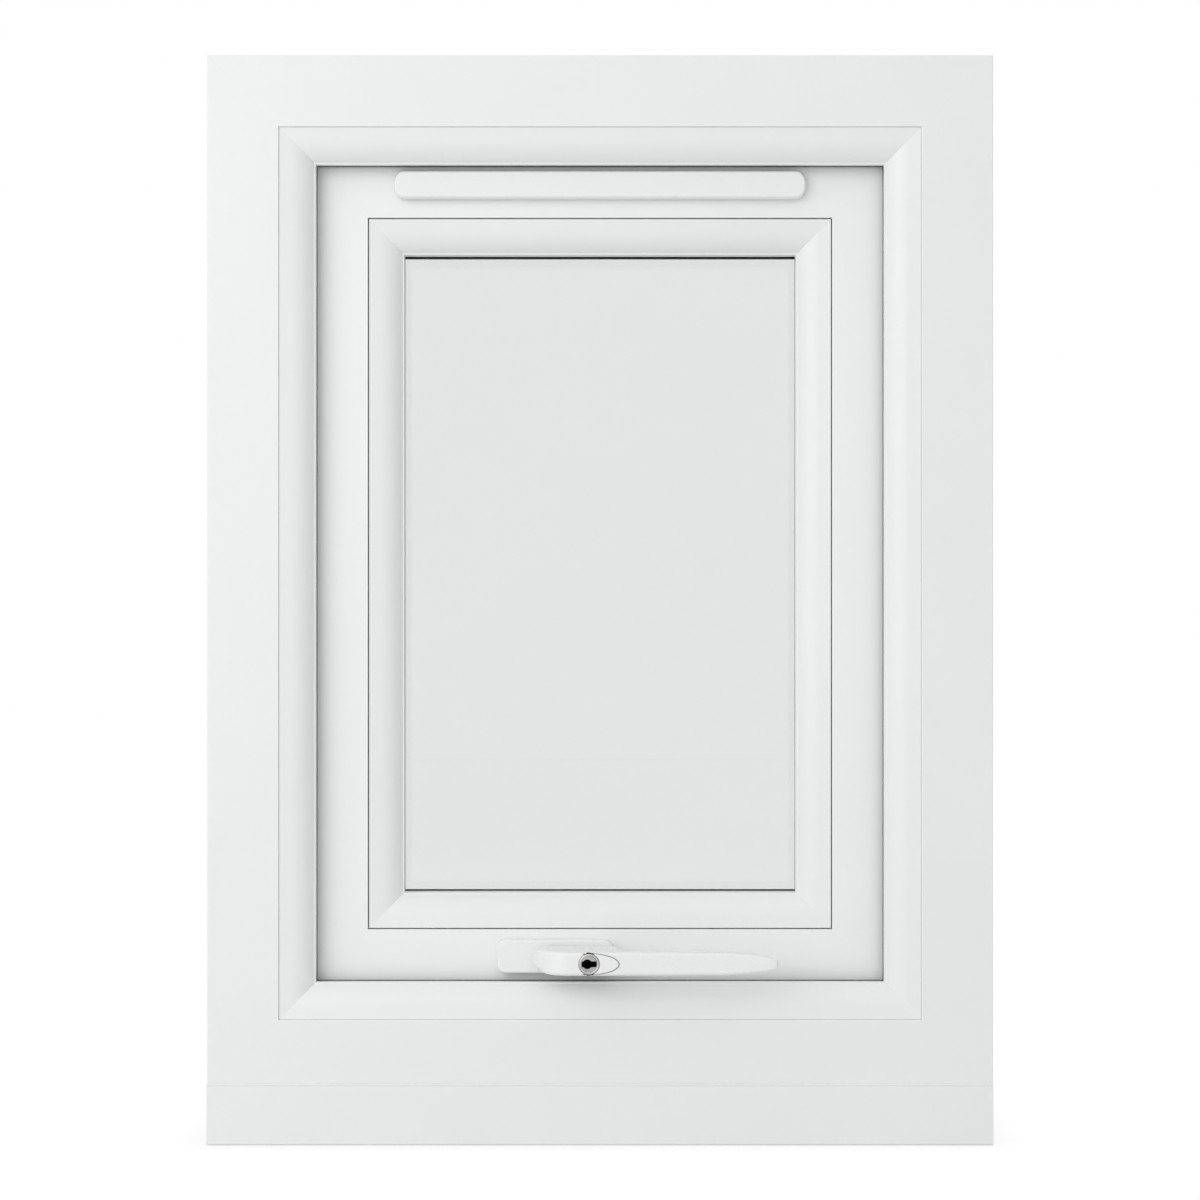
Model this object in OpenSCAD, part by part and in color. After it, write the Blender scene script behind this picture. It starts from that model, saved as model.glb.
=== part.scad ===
// Top-hung casement window: a mitred multi-chamber plastic frame on a cill, and a
// double-glazed sash on friction stays, with a locking handle and a trickle vent.
// The origin is on the cill's underside, under the middle of the frame's depth.
// +X is to the right seen from the room, +Y points outdoors and +Z is up.

/* [Frame] */
// Width of the window
frame_w = 440; // [430:1:600]
// Height of the frame without the cill
frame_h = 580; // [570:1:800]
// Flat part of the frame's face
frame_flat = 40; // [38:1:46]
// Width of the sculptured edge of the frame
frame_ovolo = 20; // [19:0.5:22]

/* [Sash] */
// Flat part of the sash's face that shows in the room
sash_flat = 28.5; // [28:0.5:32]
// Width of the glazing bead
bead_w = 20; // [18:0.5:21]
// Thickness of the sealed glass unit
unit_t = 28; // [24:1:28]
// Thickness of each pane
pane_t = 4; // [4:1:6]

/* [Cill] */
// Height of the cill's seat for the frame
cill_h = 30; // [28:1:36]
// Depth of the cill from the room side to its nose
cill_d = 150; // [130:1:180]
// Height of the cill's room-side face
cill_face_h = 34.5; // [33:0.5:40]

/* [Handle] */
// Handle spindle, measured from the middle of the window
spindle_x = -25; // [-40:1:0]
// Spindle to the sash's outer edge
backset = 22; // [22:0.5:24]
// Length of the handle's base plate
base_l = 66; // [60:1:80]
// Length of the lever from the spindle to its tip
lever_l = 124; // [110:1:135]

/* [Trickle vent] */
// Length of the vent's flap
vent_l = 230; // [160:1:240]
// Height of the vent's flap
vent_h = 15; // [14:0.5:16]

/* [Hidden] */

// Depths along Y
frame_d = 70;
y_room = -frame_d / 2;
y_out = frame_d / 2;
y_upstand = y_room + 17;
seal_gap = 3;
y_sash = y_upstand + seal_gap;
y_leg = y_out + seal_gap;
y_sash_out = y_leg + 17;
y_glass_out = y_leg - seal_gap;
y_glass_in = y_glass_out - unit_t;

// Sizes in the plane of the window
sightline = frame_flat + frame_ovolo;
mid_z = cill_h + frame_h / 2;
open_w = frame_w - 2 * sightline;
open_h = frame_h - 2 * sightline;
overlap = 8;
rebate_gap = frame_ovolo - overlap;
leg_w = rebate_gap + overlap;
body_w = open_w + 2 * overlap;
body_h = open_h + 2 * overlap;
leg_rect_w = body_w + 2 * leg_w;
leg_rect_h = body_h + 2 * leg_w;
body_t = overlap + sash_flat;
glaze_w = body_w - 2 * body_t;
glaze_h = body_h - 2 * body_t;
packer_t = 5;
pane_w = glaze_w - 2 * packer_t;
pane_h = glaze_h - 2 * packer_t;
wall = 2.5;
web = 1.6;
sash_z0 = mid_z - body_h / 2;
sash_z1 = mid_z + body_h / 2;

// Sculptured edge: a facet, then a round that steepens to a small lip
facet_step = 0.7;
facet_len = 7;
facet_angle = 8;
round_end_angle = 54;
lip = 0.9;

// Hardware groove round the sash
groove_y = 1;
groove_w = 16;
groove_t = 5;

// Friction stay, as distances along the track
arm_l = 100;
strut_l = 44;
nose_l = 42;
pivot_gap = 60;
stay_q_z = sash_z1 - 10;
stay_p_z = stay_q_z - pivot_gap;
stay_r_z = stay_p_z - arm_l;
stay_f_z = stay_r_z + 2 * strut_l;
stay_m_z = stay_r_z + strut_l;
stay_g_z = stay_q_z - nose_l;
track_l = 203;
track_z0 = sash_z1 + 5 - track_l;
track_w = 20;
track_t = 1.4;
track_wall_h = 4.2;
arm_w = 13;
rivet_r = 2.5;
boss_r = 4;
fit = 0.05;
nose_fit = 0.25;
layer_strut = 5;
layer_arm = 7.1;
layer_bar = 9.8;
plate_t = 1.8;
nose_pivot_y = 0.5;

// Espagnolette
tooth_m = 2;
pinion_teeth = 12;
pitch_r = tooth_m * pinion_teeth / 2;
spindle_z = sash_z0 + backset;
travel = pitch_r * PI / 2;
cam_xs = [-120, 92];
cam_r = 3.5;
gear_t = 8;
case_y0 = groove_y - 7;
case_y1 = groove_y + 7;
spindle_af = 7;

// Handle depths
base_t = 8;
lever_front = y_sash - 44;
lever_t = 11;
lock_x = spindle_x + 19;

// Trickle vent
vent_z = sash_z1 - 19.5;
vent_front = y_sash - 8;
slot_w = 92;
slot_h = 6;
slot_x = 52;
slot_z = vent_z + 1;

// Frame fixing holes
fix_r = 3.1;
fix_y = 22;
fix_inset = 130;

white = [0.93, 0.94, 0.94];
black = [0.08, 0.08, 0.08];
zinc = [0.72, 0.73, 0.75];

function dir(a) = [sin(a), -cos(a)];

// ---------- shared shapes ----------

// Puts a length of profile on one side of a w by h rectangle round the middle of the
// window: 0 bottom, 1 right, 2 top, 3 left. Local X runs inwards and Z along the side.
module on_side(w, h, side) {
    corner = [[w / 2, 0, -h / 2], [w / 2, 0, h / 2], [-w / 2, 0, h / 2], [-w / 2, 0, -h / 2]];
    translate([0, 0, mid_z]) translate(corner[side]) rotate([0, -90 * (side + 1), 0]) children();
}

// A length of the 2D section below, cut at 45 degrees at both ends
module mitred(len, deep) {
    intersection() {
        linear_extrude(len) children();
        rotate([90, 0, 0]) linear_extrude(400, center = true)
            polygon([[0, 0], [deep, deep], [deep, len - deep], [0, len]]);
    }
}

module ring(w, h, deep) {
    for (side = [0 : 3])
        on_side(w, h, side) mitred(side % 2 == 0 ? w : h, deep) children();
}

function facet_drop() = facet_len * tan(facet_angle);
function round_r(w) = (w - facet_len - lip) / (sin(round_end_angle) - sin(facet_angle));
function round_drop(w) = round_r(w) * (cos(facet_angle) - cos(round_end_angle));

// Sculptured edge from the face at (x0, y0), w wide, filled back to the depth y1. The
// facet and the lip are sunk a hair, so that they cross the round cleanly.
module ovolo(x0, y0, w, y1) {
    sink = 0.02;
    ax = x0 + facet_len;
    ay = y0 + facet_step + facet_drop();
    bx = x0 + w - lip;
    by = ay + round_drop(w);
    polygon([[x0, y0 + facet_step + sink], [ax, ay + sink], [ax, y1], [x0, y1]]);
    intersection() {
        translate([ax, ay] - round_r(w) * dir(facet_angle)) circle(r = round_r(w), $fn = 96);
        translate([ax - 2, y0]) square([bx - ax + 2, y1 - y0]);
    }
    polygon([
        [bx - 3, by + 4 * sink], [bx, by + 4 * sink], [x0 + w, by + 0.15], [x0 + w, y1], [bx - 3, y1]
    ]);
}

module box(x0, x1, y0, y1, z0, z1) {
    translate([x0, y0, z0]) cube([x1 - x0, y1 - y0, z1 - z0]);
}

module rod_y(r, y0, y1, fn = 48) {
    translate([0, y0, 0]) rotate([-90, 0, 0]) cylinder(r = r, h = y1 - y0, $fn = fn);
}

// Stadium outline, length along X
module stadium(l, h) {
    r = h / 2;
    for (s = [-1, 1]) translate([s * (l / 2 - r), 0]) circle(r = r, $fn = 48);
    square([l - h, h], center = true);
}

module ellipse_2d(a, b, n = 48) {
    polygon([for (i = [0 : n - 1]) [a * cos(360 * i / n), b * sin(360 * i / n)]]);
}

// Extrudes an XZ outline from y0 to y1
module along_y(y0, y1) {
    translate([0, y1, 0]) rotate([90, 0, 0]) linear_extrude(y1 - y0) children();
}

screw_r = 1.9;
head_r = 3.5;
head_t = 1.3;

// Screw along +Z, with a countersunk cross-slot head whose top is at the origin
module screw(len, r = screw_r, head = head_r, t = head_t) {
    difference() {
        union() {
            cylinder(r1 = head, r2 = r, h = t, $fn = 32);
            cylinder(r = r, h = len, $fn = 24);
        }
        for (a = [0, 90]) rotate(a) translate([-1.7, -0.4, -1]) cube([3.4, 0.8, 1.7]);
    }
}

// The hole for that screw in a plate no thicker than the plates here
module screw_hole(r = screw_r, head = head_r, t = head_t) {
    gap = 0.08;
    translate([0, 0, -3]) cylinder(r = head + gap, h = 3, $fn = 32);
    cylinder(r1 = head + gap, r2 = r + gap, h = t, $fn = 32);
    cylinder(r = r + gap, h = 6, $fn = 24);
}

// ---------- outer frame ----------

module frame_section() {
    difference() {
        union() {
            translate([0, y_room]) square([frame_flat, frame_d]);
            ovolo(frame_flat, y_room, frame_ovolo, y_upstand);
        }
        // chambers
        translate([wall, y_room + wall]) square([13, 28]);
        translate([wall, y_room + wall + 28 + web]) square([13, 33.4]);
        translate([wall + 13 + web, y_room + wall]) square([20.4, 13]);
        translate([wall + 13 + web, y_room + wall + 13 + web]) square([20.4, 32]);
        translate([wall + 13 + web, y_room + wall + 13 + 32 + 2 * web]) square([20.4, 16.8]);
        polygon([
            [frame_flat + 1, y_upstand - wall], [frame_flat + 1, y_room + 5],
            [frame_flat + 8, y_room + 6], [frame_flat + 12, y_room + 9], [frame_flat + 15, y_upstand - wall]
        ]);
    }
}

module frame_length(side) {
    len = side % 2 == 0 ? frame_w : frame_h;
    color(white) on_side(frame_w, frame_h, side) mitred(len, sightline + 1) frame_section();
}

module fixing_holes(side) {
    for (z = [cill_h + fix_inset, cill_h + frame_h - fix_inset])
        translate([side * frame_w / 2, fix_y, z]) rotate([0, 90, 0])
            cylinder(r = fix_r, h = 2 * frame_flat + 10, center = true, $fn = 48);
}

module frame_head() {
    frame_length(2);
}

drain_x = 130;
drain_slot_z = cill_h + 17;

module frame_bottom_rail() {
    color(white) difference() {
        frame_length(0);
        for (x = [-drain_x, drain_x])
            translate([x, 0, drain_slot_z]) along_y(y_out - wall - 1, y_out + 1) stadium(26, 3.8);
    }
}

module frame_left_jamb() {
    color(white) difference() {
        frame_length(3);
        fixing_holes(-1);
    }
}

module frame_right_jamb() {
    color(white) difference() {
        frame_length(1);
        fixing_holes(1);
    }
}

module frame_gasket() {
    color(black) ring(frame_w, frame_h, sightline + 1)
        polygon([
            [sightline - 5, y_upstand], [sightline - 0.8, y_upstand],
            [sightline + 0.1, y_upstand + 1], [sightline - 0.6, y_sash - 0.4], [sightline - 4, y_sash - 0.7]
        ]);
}

// ---------- cill ----------

cill_y0 = y_room - 2;
cill_y1 = cill_y0 + cill_d;
cill_nose_h = 17;
cap_t = 3;

module cill_outline() {
    polygon([
        [cill_y0, 0], [cill_y1 - 1, 0], [cill_y1, 1], [cill_y1, cill_nose_h - 2], [cill_y1 - 2, cill_nose_h],
        [y_out + 2, cill_h - 4], [y_out + 2, cill_h], [y_room, cill_h],
        [y_room, cill_face_h], [cill_y0 + 0.8, cill_face_h], [cill_y0, cill_face_h - 0.8]
    ]);
}

module cill_section() {
    bays = 5;
    bay = (y_out + 2 - y_room - 2 * wall - (bays - 1) * web) / bays;
    difference() {
        cill_outline();
        for (i = [0 : bays - 1])
            translate([y_room + wall + i * (bay + web), wall]) square([bay, cill_h - 2 * wall]);
        for (i = [0 : 2]) {
            y0 = y_out + 4.5 + i * 22;
            top0 = cill_h - 4 - (y0 - y_out - 2) * slope - wall;
            polygon([[y0, wall], [y0 + 20.4, wall], [y0 + 20.4, top0 - 20.4 * slope], [y0, top0]]);
        }
        translate([cill_y1 - 8, -1]) square([3, 2.6]);
    }
}

slope = (cill_h - 4 - cill_nose_h) / (cill_y1 - 2 - y_out - 2);

// A 2D section in Y and Z, extruded along X
module along_x(x0, x1) {
    translate([x0, 0, 0]) rotate([90, 0, 90]) linear_extrude(x1 - x0) children();
}

module cill() {
    color(white) difference() {
        along_x(-frame_w / 2, frame_w / 2) cill_section();
        for (s = [-1, 1])
            translate([s * frame_w / 2, (cill_y1 + y_room) / 2 + 5, cill_h / 2])
                cube([2 * cap_t, cill_y1 - y_room + 10, cill_h + 20], center = true);
    }
}

module cill_end_caps() {
    color(white) for (s = [-1, 1])
        intersection() {
            along_x(s > 0 ? frame_w / 2 - cap_t : -frame_w / 2, s > 0 ? frame_w / 2 : -frame_w / 2 + cap_t)
                cill_outline();
            box(-frame_w, frame_w, y_room, cill_y1 + 1, -1, cill_h);
        }
}

module drain_caps() {
    color(white) for (x = [-drain_x, drain_x])
        difference() {
            translate([x, y_out, drain_slot_z - 1]) rotate([-90, 0, 0]) linear_extrude(5, scale = [0.86, 0.7])
                stadium(36, 12);
            translate([x, 0, drain_slot_z - 1]) along_y(y_out - 1, y_out + 3.4) stadium(28, 7);
            box(x - 11, x + 11, y_out - 1, y_out + 3.4, drain_slot_z - 9, drain_slot_z);
        }
}

// ---------- sash ----------

body_u = leg_w;
bead_u = leg_w + body_t;
leg_tip_u = bead_u + bead_w - 2.9;
slot_deep = 2;

module sash_section() {
    difference() {
        union() {
            translate([body_u, y_sash]) square([body_t, y_leg - y_sash]);
            polygon([
                [0, y_leg], [leg_tip_u, y_leg], [leg_tip_u, y_leg + 2.5], [leg_tip_u - 15, y_sash_out - 2],
                [leg_tip_u - 17, y_sash_out], [1.5, y_sash_out], [0, y_sash_out - 1.5]
            ]);
        }
        // hardware groove and the slot for the beads' feet
        translate([body_u - 1, groove_y - groove_w / 2]) square([groove_t + 1, groove_w]);
        translate([bead_u - slot_deep, -0.1]) square([slot_deep + 1, 2.2]);
        polygon([[bead_u - 0.4, y_sash - 0.1], [bead_u + 0.1, y_sash - 0.1], [bead_u + 0.1, y_sash + 0.4]]);
        // chambers
        translate([body_u + wall, y_sash + wall]) square([body_t - 2 * wall, 3.2]);
        translate([body_u + groove_t + wall, groove_y - groove_w / 2]) square([24, groove_w + 8]);
        for (i = [0, 1])
            translate([body_u + wall + i * 16.6, groove_y + groove_w / 2 + 9.6]) square([15, 16.6]);
        translate([3, y_leg + wall]) square([15, 11.5]);
        translate([18 + web, y_leg + wall]) square([body_t - 2, 11.5]);
        polygon([
            [bead_u + 1, y_leg + wall], [leg_tip_u - 3.5, y_leg + wall],
            [leg_tip_u - 15.6, y_leg + 13.5], [bead_u + 1, y_leg + 13.5]
        ]);
    }
}

module sash_length(side) {
    len = side % 2 == 0 ? leg_rect_w : leg_rect_h;
    on_side(leg_rect_w, leg_rect_h, side) mitred(len, leg_tip_u + 1) sash_section();
}

module vent_slots(y0, y1) {
    for (s = [-1, 1])
        translate([s * slot_x, 0, slot_z]) along_y(y0, y1) stadium(slot_w, slot_h);
}

module sash_top_rail() {
    color(white) difference() {
        sash_length(2);
        vent_slots(y_sash - 1, y_sash_out + 1);
    }
}

case_w = 38;
case_z1 = spindle_z + 12.1;
rack_x0 = spindle_x - travel - 8;
rack_x1 = spindle_x + 8;
bar_z0 = sash_z0 + 2.3;
bar_z1 = bar_z0 + 2.4;
pocket_gap = 0.6;

module sash_bottom_rail() {
    color(white) difference() {
        sash_length(0);
        // pocket for the gearbox and the rack, and the spindle's hole
        box(spindle_x - case_w / 2 - pocket_gap, spindle_x + case_w / 2 + pocket_gap,
            case_y0 - pocket_gap, case_y1 + pocket_gap, sash_z0 - 1, case_z1 + pocket_gap);
        box(rack_x0 - 3, rack_x1 + travel + 3, case_y0 - pocket_gap, case_y1 + pocket_gap,
            sash_z0 - 1, spindle_z - 8);
        translate([spindle_x, 0, spindle_z]) rod_y(7, y_sash - 1, case_y0);
    }
}

module sash_left_stile() {
    color(white) sash_length(3);
}

module sash_right_stile() {
    color(white) sash_length(1);
}

module sash_gasket() {
    color(black) ring(leg_rect_w, leg_rect_h, 10)
        polygon([[1.5, y_leg], [6, y_leg], [5, y_out + 0.8], [2.2, y_out + 0.4], [1.2, y_out + 1.4]]);
}

module glazing_gasket_section(y0, y1, tip) {
    root = leg_tip_u - 9;
    polygon([[root, y0], [tip, y0], [tip + 0.6, (y0 + y1) / 2], [tip - 0.4, y1], [root, y1]]);
}

module outer_glazing_gasket() {
    color(black) ring(leg_rect_w, leg_rect_h, leg_tip_u + 2)
        glazing_gasket_section(y_glass_out, y_leg, leg_tip_u + 0.1);
}

module bead_gasket() {
    color(black) ring(leg_rect_w, leg_rect_h, leg_tip_u + 3)
        glazing_gasket_section(y_glass_in - seal_gap, y_glass_in, bead_u + bead_w - 0.6);
}

module bead_section() {
    x0 = bead_u;
    y1 = y_glass_in - seal_gap;
    difference() {
        ovolo(x0, y_sash, bead_w, y1);
        polygon([
            [x0 - 1, y_sash], [x0 + 0.5, y_sash],
            [x0 + 0.5, y_sash + facet_step + 0.1], [x0 - 0.1, y_sash + 1.3]
        ]);
        polygon([
            [x0 + 2, y1 - 2], [x0 + 2, y_sash + 3.5], [x0 + 7, y_sash + 4.2],
            [x0 + 13, y_sash + 7.5], [x0 + 17.5, y_sash + 11.5], [x0 + 17.5, y1 - 2]
        ]);
    }
    translate([x0 - slot_deep + 0.1, 0]) square([slot_deep + 1, 2]);
}

module bead_length(side) {
    len = side % 2 == 0 ? leg_rect_w : leg_rect_h;
    color(white) on_side(leg_rect_w, leg_rect_h, side) mitred(len, bead_u + bead_w + 1) bead_section();
}

module bead_bottom() {
    bead_length(0);
}

module bead_right() {
    bead_length(1);
}

module bead_top() {
    bead_length(2);
}

module bead_left() {
    bead_length(3);
}

// ---------- sealed glass unit ----------

module pane(y0) {
    color([0.8, 0.9, 0.88, 0.4])
        box(-pane_w / 2, pane_w / 2, y0, y0 + pane_t, mid_z - pane_h / 2, mid_z + pane_h / 2);
}

module inner_pane() {
    pane(y_glass_in);
}

module outer_pane() {
    pane(y_glass_out - pane_t);
}

cavity_t = unit_t - 2 * pane_t;
spacer_inset = 4;
spacer_w = 6.5;

module spacer_bar() {
    color(zinc) ring(pane_w, pane_h, 20)
        difference() {
            translate([spacer_inset, y_glass_in + pane_t]) square([spacer_w, cavity_t]);
            translate([spacer_inset + 0.6, y_glass_in + pane_t + 0.6])
                square([spacer_w - 1.2, cavity_t - 1.2]);
        }
}

module unit_sealant() {
    color(black) ring(pane_w, pane_h, 20)
        translate([0.3, y_glass_in + pane_t]) square([spacer_inset - 0.3, cavity_t]);
}

packer_l = 60;

module glazing_packers() {
    color([0.2, 0.4, 0.75]) for (side = [0 : 3]) {
        len = side % 2 == 0 ? glaze_w : glaze_h;
        on_side(glaze_w, glaze_h, side)
            for (z = [len * 0.22, len * 0.78])
                translate([0.1, y_glass_in, z - packer_l / 2]) cube([packer_t - 0.2, unit_t, packer_l]);
    }
}

// ---------- espagnolette lock ----------

faceplate_t = 1.8;
faceplate_x = 158;
faceplate_screws = [-faceplate_x + 4.5, faceplate_x - 4.5];
cam_neck_r = 2.5;

module espag_faceplate() {
    color(zinc) difference() {
        box(-faceplate_x, faceplate_x, groove_y - 7.8, groove_y + 7.8,
            sash_z0 + 0.2, sash_z0 + 0.2 + faceplate_t);
        for (x = cam_xs)
            box(x - 4, x + travel + 4, groove_y - 3, groove_y + 3, sash_z0 - 1, sash_z0 + 3);
        for (x = faceplate_screws) translate([x, groove_y, sash_z0]) screw_hole();
    }
}

hub_r = 5;

module gearbox_body() {
    difference() {
        box(spindle_x - case_w / 2, spindle_x + case_w / 2, case_y0, case_y1,
            sash_z0 + groove_t + 0.2, case_z1);
        intersection() {
            translate([spindle_x, 0, spindle_z])
                rod_y(15, groove_y - gear_t / 2 - 0.4, groove_y + gear_t / 2 + 0.4, 64);
            box(-100, 100, case_y0, case_y1, sash_z0, case_z1 - 1.4);
        }
        translate([spindle_x, 0, spindle_z]) rod_y(hub_r + fit, case_y0 - 1, case_y1 + 1);
        box(spindle_x - case_w / 2 - 1, spindle_x + case_w / 2 + 1,
            groove_y - gear_t / 2 - 0.4, groove_y + gear_t / 2 + 0.4, sash_z0, spindle_z - pitch_r + 3);
    }
}

module gearbox_case() {
    color(zinc) intersection() {
        gearbox_body();
        box(-100, 100, case_y0 - 1, groove_y, 0, 200);
    }
}

module gearbox_cover() {
    color(zinc) intersection() {
        gearbox_body();
        box(-100, 100, groove_y, case_y1 + 1, 0, 200);
    }
}

pressure_angle = 20;
base_r = pitch_r * cos(pressure_angle);
pinion_tip_r = pitch_r + 1.7;
pinion_root_r = pitch_r - 1.8;
rack_addendum = 1.4;
rack_dedendum = 2.1;
backlash = 0.25;

function involute_angle(r) = sqrt(pow(r / base_r, 2) - 1) * 180 / PI - acos(base_r / r);
function half_tooth(r) = (PI * tooth_m / 2 - backlash / 2) / 2 / pitch_r * 180 / PI
    + involute_angle(pitch_r) - involute_angle(max(r, base_r));

// One tooth of the pinion along +X
module pinion_tooth() {
    steps = 8;
    rs = concat([pinion_root_r - 0.5], [for (i = [0 : steps]) base_r + (pinion_tip_r - base_r) * i / steps]);
    polygon(concat(
        [for (r = rs) r * [cos(half_tooth(r)), -sin(half_tooth(r))]],
        [for (i = [len(rs) - 1 : -1 : 0]) rs[i] * [cos(half_tooth(rs[i])), sin(half_tooth(rs[i]))]]
    ));
}

module gearbox_pinion() {
    color(zinc) translate([spindle_x, 0, spindle_z]) difference() {
        union() {
            along_y(groove_y - gear_t / 2, groove_y + gear_t / 2) {
                circle(r = pinion_root_r, $fn = 64);
                for (a = [150 : 360 / pinion_teeth : 300]) rotate(a) pinion_tooth();
            }
            rod_y(hub_r, case_y0 + 0.1, case_y1 - 0.1);
        }
        box(-spindle_af / 2 - fit, spindle_af / 2 + fit, case_y0 - 1, case_y1 + 1,
            -spindle_af / 2 - fit, spindle_af / 2 + fit);
    }
}

module rack_tooth() {
    half = (PI * tooth_m / 2 - backlash / 2) / 2;
    polygon([
        [-half - rack_dedendum * tan(pressure_angle), -rack_dedendum - 0.1],
        [-half + rack_addendum * tan(pressure_angle), rack_addendum],
        [half - rack_addendum * tan(pressure_angle), rack_addendum],
        [half + rack_dedendum * tan(pressure_angle), -rack_dedendum - 0.1]
    ]);
}

rack_z = spindle_z - pitch_r;
drive_x = [-148, 122];

module drive_bar() {
    pitch = PI * tooth_m;
    color(zinc) {
        box(drive_x[0], drive_x[1], groove_y - 5, groove_y + 5, bar_z0, bar_z1);
        along_y(groove_y - gear_t / 2 + 0.3, groove_y + gear_t / 2 - 0.3) {
            translate([rack_x0, bar_z1 - 0.1])
                square([rack_x1 - rack_x0, rack_z - rack_dedendum - bar_z1 + 0.1]);
            for (i = [-4 : 0]) translate([spindle_x + (i + 0.5) * pitch, rack_z]) rack_tooth();
        }
    }
}

cam_z0 = sash_z0 - 7.4;

module drive_cams() {
    color(zinc) for (x = cam_xs) translate([x, groove_y, 0]) {
        translate([0, 0, cam_z0]) cylinder(r = 4.4, h = 1, $fn = 48);
        translate([0, 0, cam_z0 + 1]) cylinder(r = cam_r, h = 5.4, $fn = 48);
        translate([0, 0, cam_z0 + 6.4]) cylinder(r = cam_neck_r, h = bar_z0 - cam_z0 - 6.4, $fn = 48);
    }
}

keep_l = 34;
keep_t = 1.5;
keep_x = [for (x = cam_xs) x - 6];
keep_screw_x = 11;
keep_z0 = cill_h + frame_flat;

module keep(x) {
    color(zinc) difference() {
        union() {
            box(x - keep_l / 2, x + keep_l / 2, groove_y - 7, groove_y + 12, keep_z0, keep_z0 + keep_t);
            box(x - keep_l / 2 + 8, x + keep_l / 2, groove_y + 6, groove_y + 9, keep_z0, cam_z0 - 0.5);
        }
        for (s = [-1, 1])
            translate([x + s * keep_screw_x, groove_y - 2, keep_z0 + keep_t + 0.2])
                rotate([180, 0, 0]) screw_hole();
    }
}

module keep_left() {
    keep(keep_x[0]);
}

module keep_right() {
    keep(keep_x[1]);
}

// ---------- handle ----------

module handle_base_outline() {
    translate([spindle_x, spindle_z]) {
        r = 4;
        for (i = [-1, 1]) for (j = [-1, 1])
            translate([i * (base_l / 2 - r), j * (9.5 - r)]) circle(r = r, $fn = 48);
        square([base_l, 19 - 2 * r], center = true);
        square([base_l - 2 * r, 19], center = true);
    }
}

screw_pitch = 43;
collar_r = 6;

module handle_base() {
    color(white) difference() {
        along_y(y_sash - base_t, y_sash) handle_base_outline();
        translate([spindle_x, 0, spindle_z]) {
            rod_y(collar_r + fit, y_sash - base_t - 1, y_sash + 1);
            for (s = [-1, 1]) translate([s * screw_pitch / 2, 0, 0]) {
                rod_y(2.6, y_sash - base_t + 2.5, y_sash + 1, 32);
                rod_y(4, y_sash - base_t + 1.6, y_sash - 3);
            }
        }
    }
}

module handle_screws() {
    color(zinc) for (s = [-1, 1])
        translate([spindle_x + s * screw_pitch / 2, y_sash - 5, spindle_z]) rotate([-90, 0, 0])
            screw(16, r = 2.3, head = 3.8, t = 2);
}

lever_h = 13.2;
neck_x0 = spindle_x - 13.5;
root_r = 7;
neck_x1 = lock_x + 17;
lever_back = lever_front + lever_t;
tip_x = spindle_x + lever_l;
plate_gap = 0.4;
neck_y = y_sash - base_t - plate_gap;
button_r = 5.7;
button_t = 14;
plug_r = 4.4;
plug_t = 12;

// The lever from above: a slanted neck on the base and a grip that thins towards its tip
module lever_plan() {
    polygon([
        [neck_x0, neck_y], [neck_x0 + 2, neck_y - 9], [neck_x0 + 13, lever_front + 3],
        [neck_x0 + 17, lever_front], [tip_x - 8, lever_front], [tip_x, lever_front + 3],
        [tip_x, lever_front + 5], [tip_x - 6, lever_back - 3], [neck_x1 + 22, lever_back],
        [neck_x1 + 8, lever_back + 1.5], [neck_x1 + 1, lever_back + 7], [neck_x1, neck_y]
    ]);
}

// The lever from the front: a straight grip with an arched tip and a round root
module lever_face() {
    polygon(concat(
        [
            [lock_x, -lever_h / 2], [tip_x - 22, -lever_h / 2 + 1.2],
            [tip_x - 8, -lever_h / 2 + 2.6], [tip_x, -0.5], [tip_x, 0.5], [tip_x - 8, lever_h / 2 - 2.6],
            [tip_x - 22, lever_h / 2 - 1.2], [lock_x, lever_h / 2]
        ],
        [for (a = [90 : 15 : 270]) [neck_x0 + root_r + root_r * cos(a), lever_h / 2 * sin(a)]]
    ));
}

module handle_lever() {
    color(white) difference() {
        union() {
            intersection() {
                translate([0, 0, spindle_z]) linear_extrude(lever_h, center = true) lever_plan();
                translate([0, 0, spindle_z]) along_y(lever_front - 1, neck_y + 1) lever_face();
            }
            translate([spindle_x, 0, spindle_z]) rod_y(collar_r, neck_y - 1, y_sash - 1);
        }
        translate([lock_x, 0, spindle_z]) {
            rod_y(button_r + fit, lever_front - 1, lever_front + button_t + 1, 64);
            along_y(lever_front - 1, lever_front + 0.4) difference() {
                ellipse_2d(16.9, 6.2);
                ellipse_2d(16.2, 5.9);
            }
        }
        box(spindle_x - spindle_af / 2 - fit, spindle_x + spindle_af / 2 + fit, neck_y - 12, y_sash,
            spindle_z - spindle_af / 2 - fit, spindle_z + spindle_af / 2 + fit);
    }
}

module handle_spindle() {
    color(zinc) box(spindle_x - spindle_af / 2, spindle_x + spindle_af / 2, neck_y - 11.5, case_y1 - 0.5,
        spindle_z - spindle_af / 2, spindle_z + spindle_af / 2);
}

module lock_button() {
    color(zinc) translate([lock_x, 0, spindle_z]) difference() {
        rod_y(button_r, lever_front, lever_front + button_t, 64);
        rod_y(plug_r + fit, lever_front - 1, lever_front + plug_t + 0.4, 64);
    }
}

module lock_plug() {
    color(zinc) translate([lock_x, 0, spindle_z]) difference() {
        rod_y(plug_r, lever_front, lever_front + plug_t, 64);
        translate([-0.4, 0, 0]) along_y(lever_front - 1, lever_front + 9) {
            square([7.4, 2.2], center = true);
            translate([-2, 0]) circle(r = 1.9, $fn = 32);
        }
    }
}

// ---------- trickle vent ----------

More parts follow.
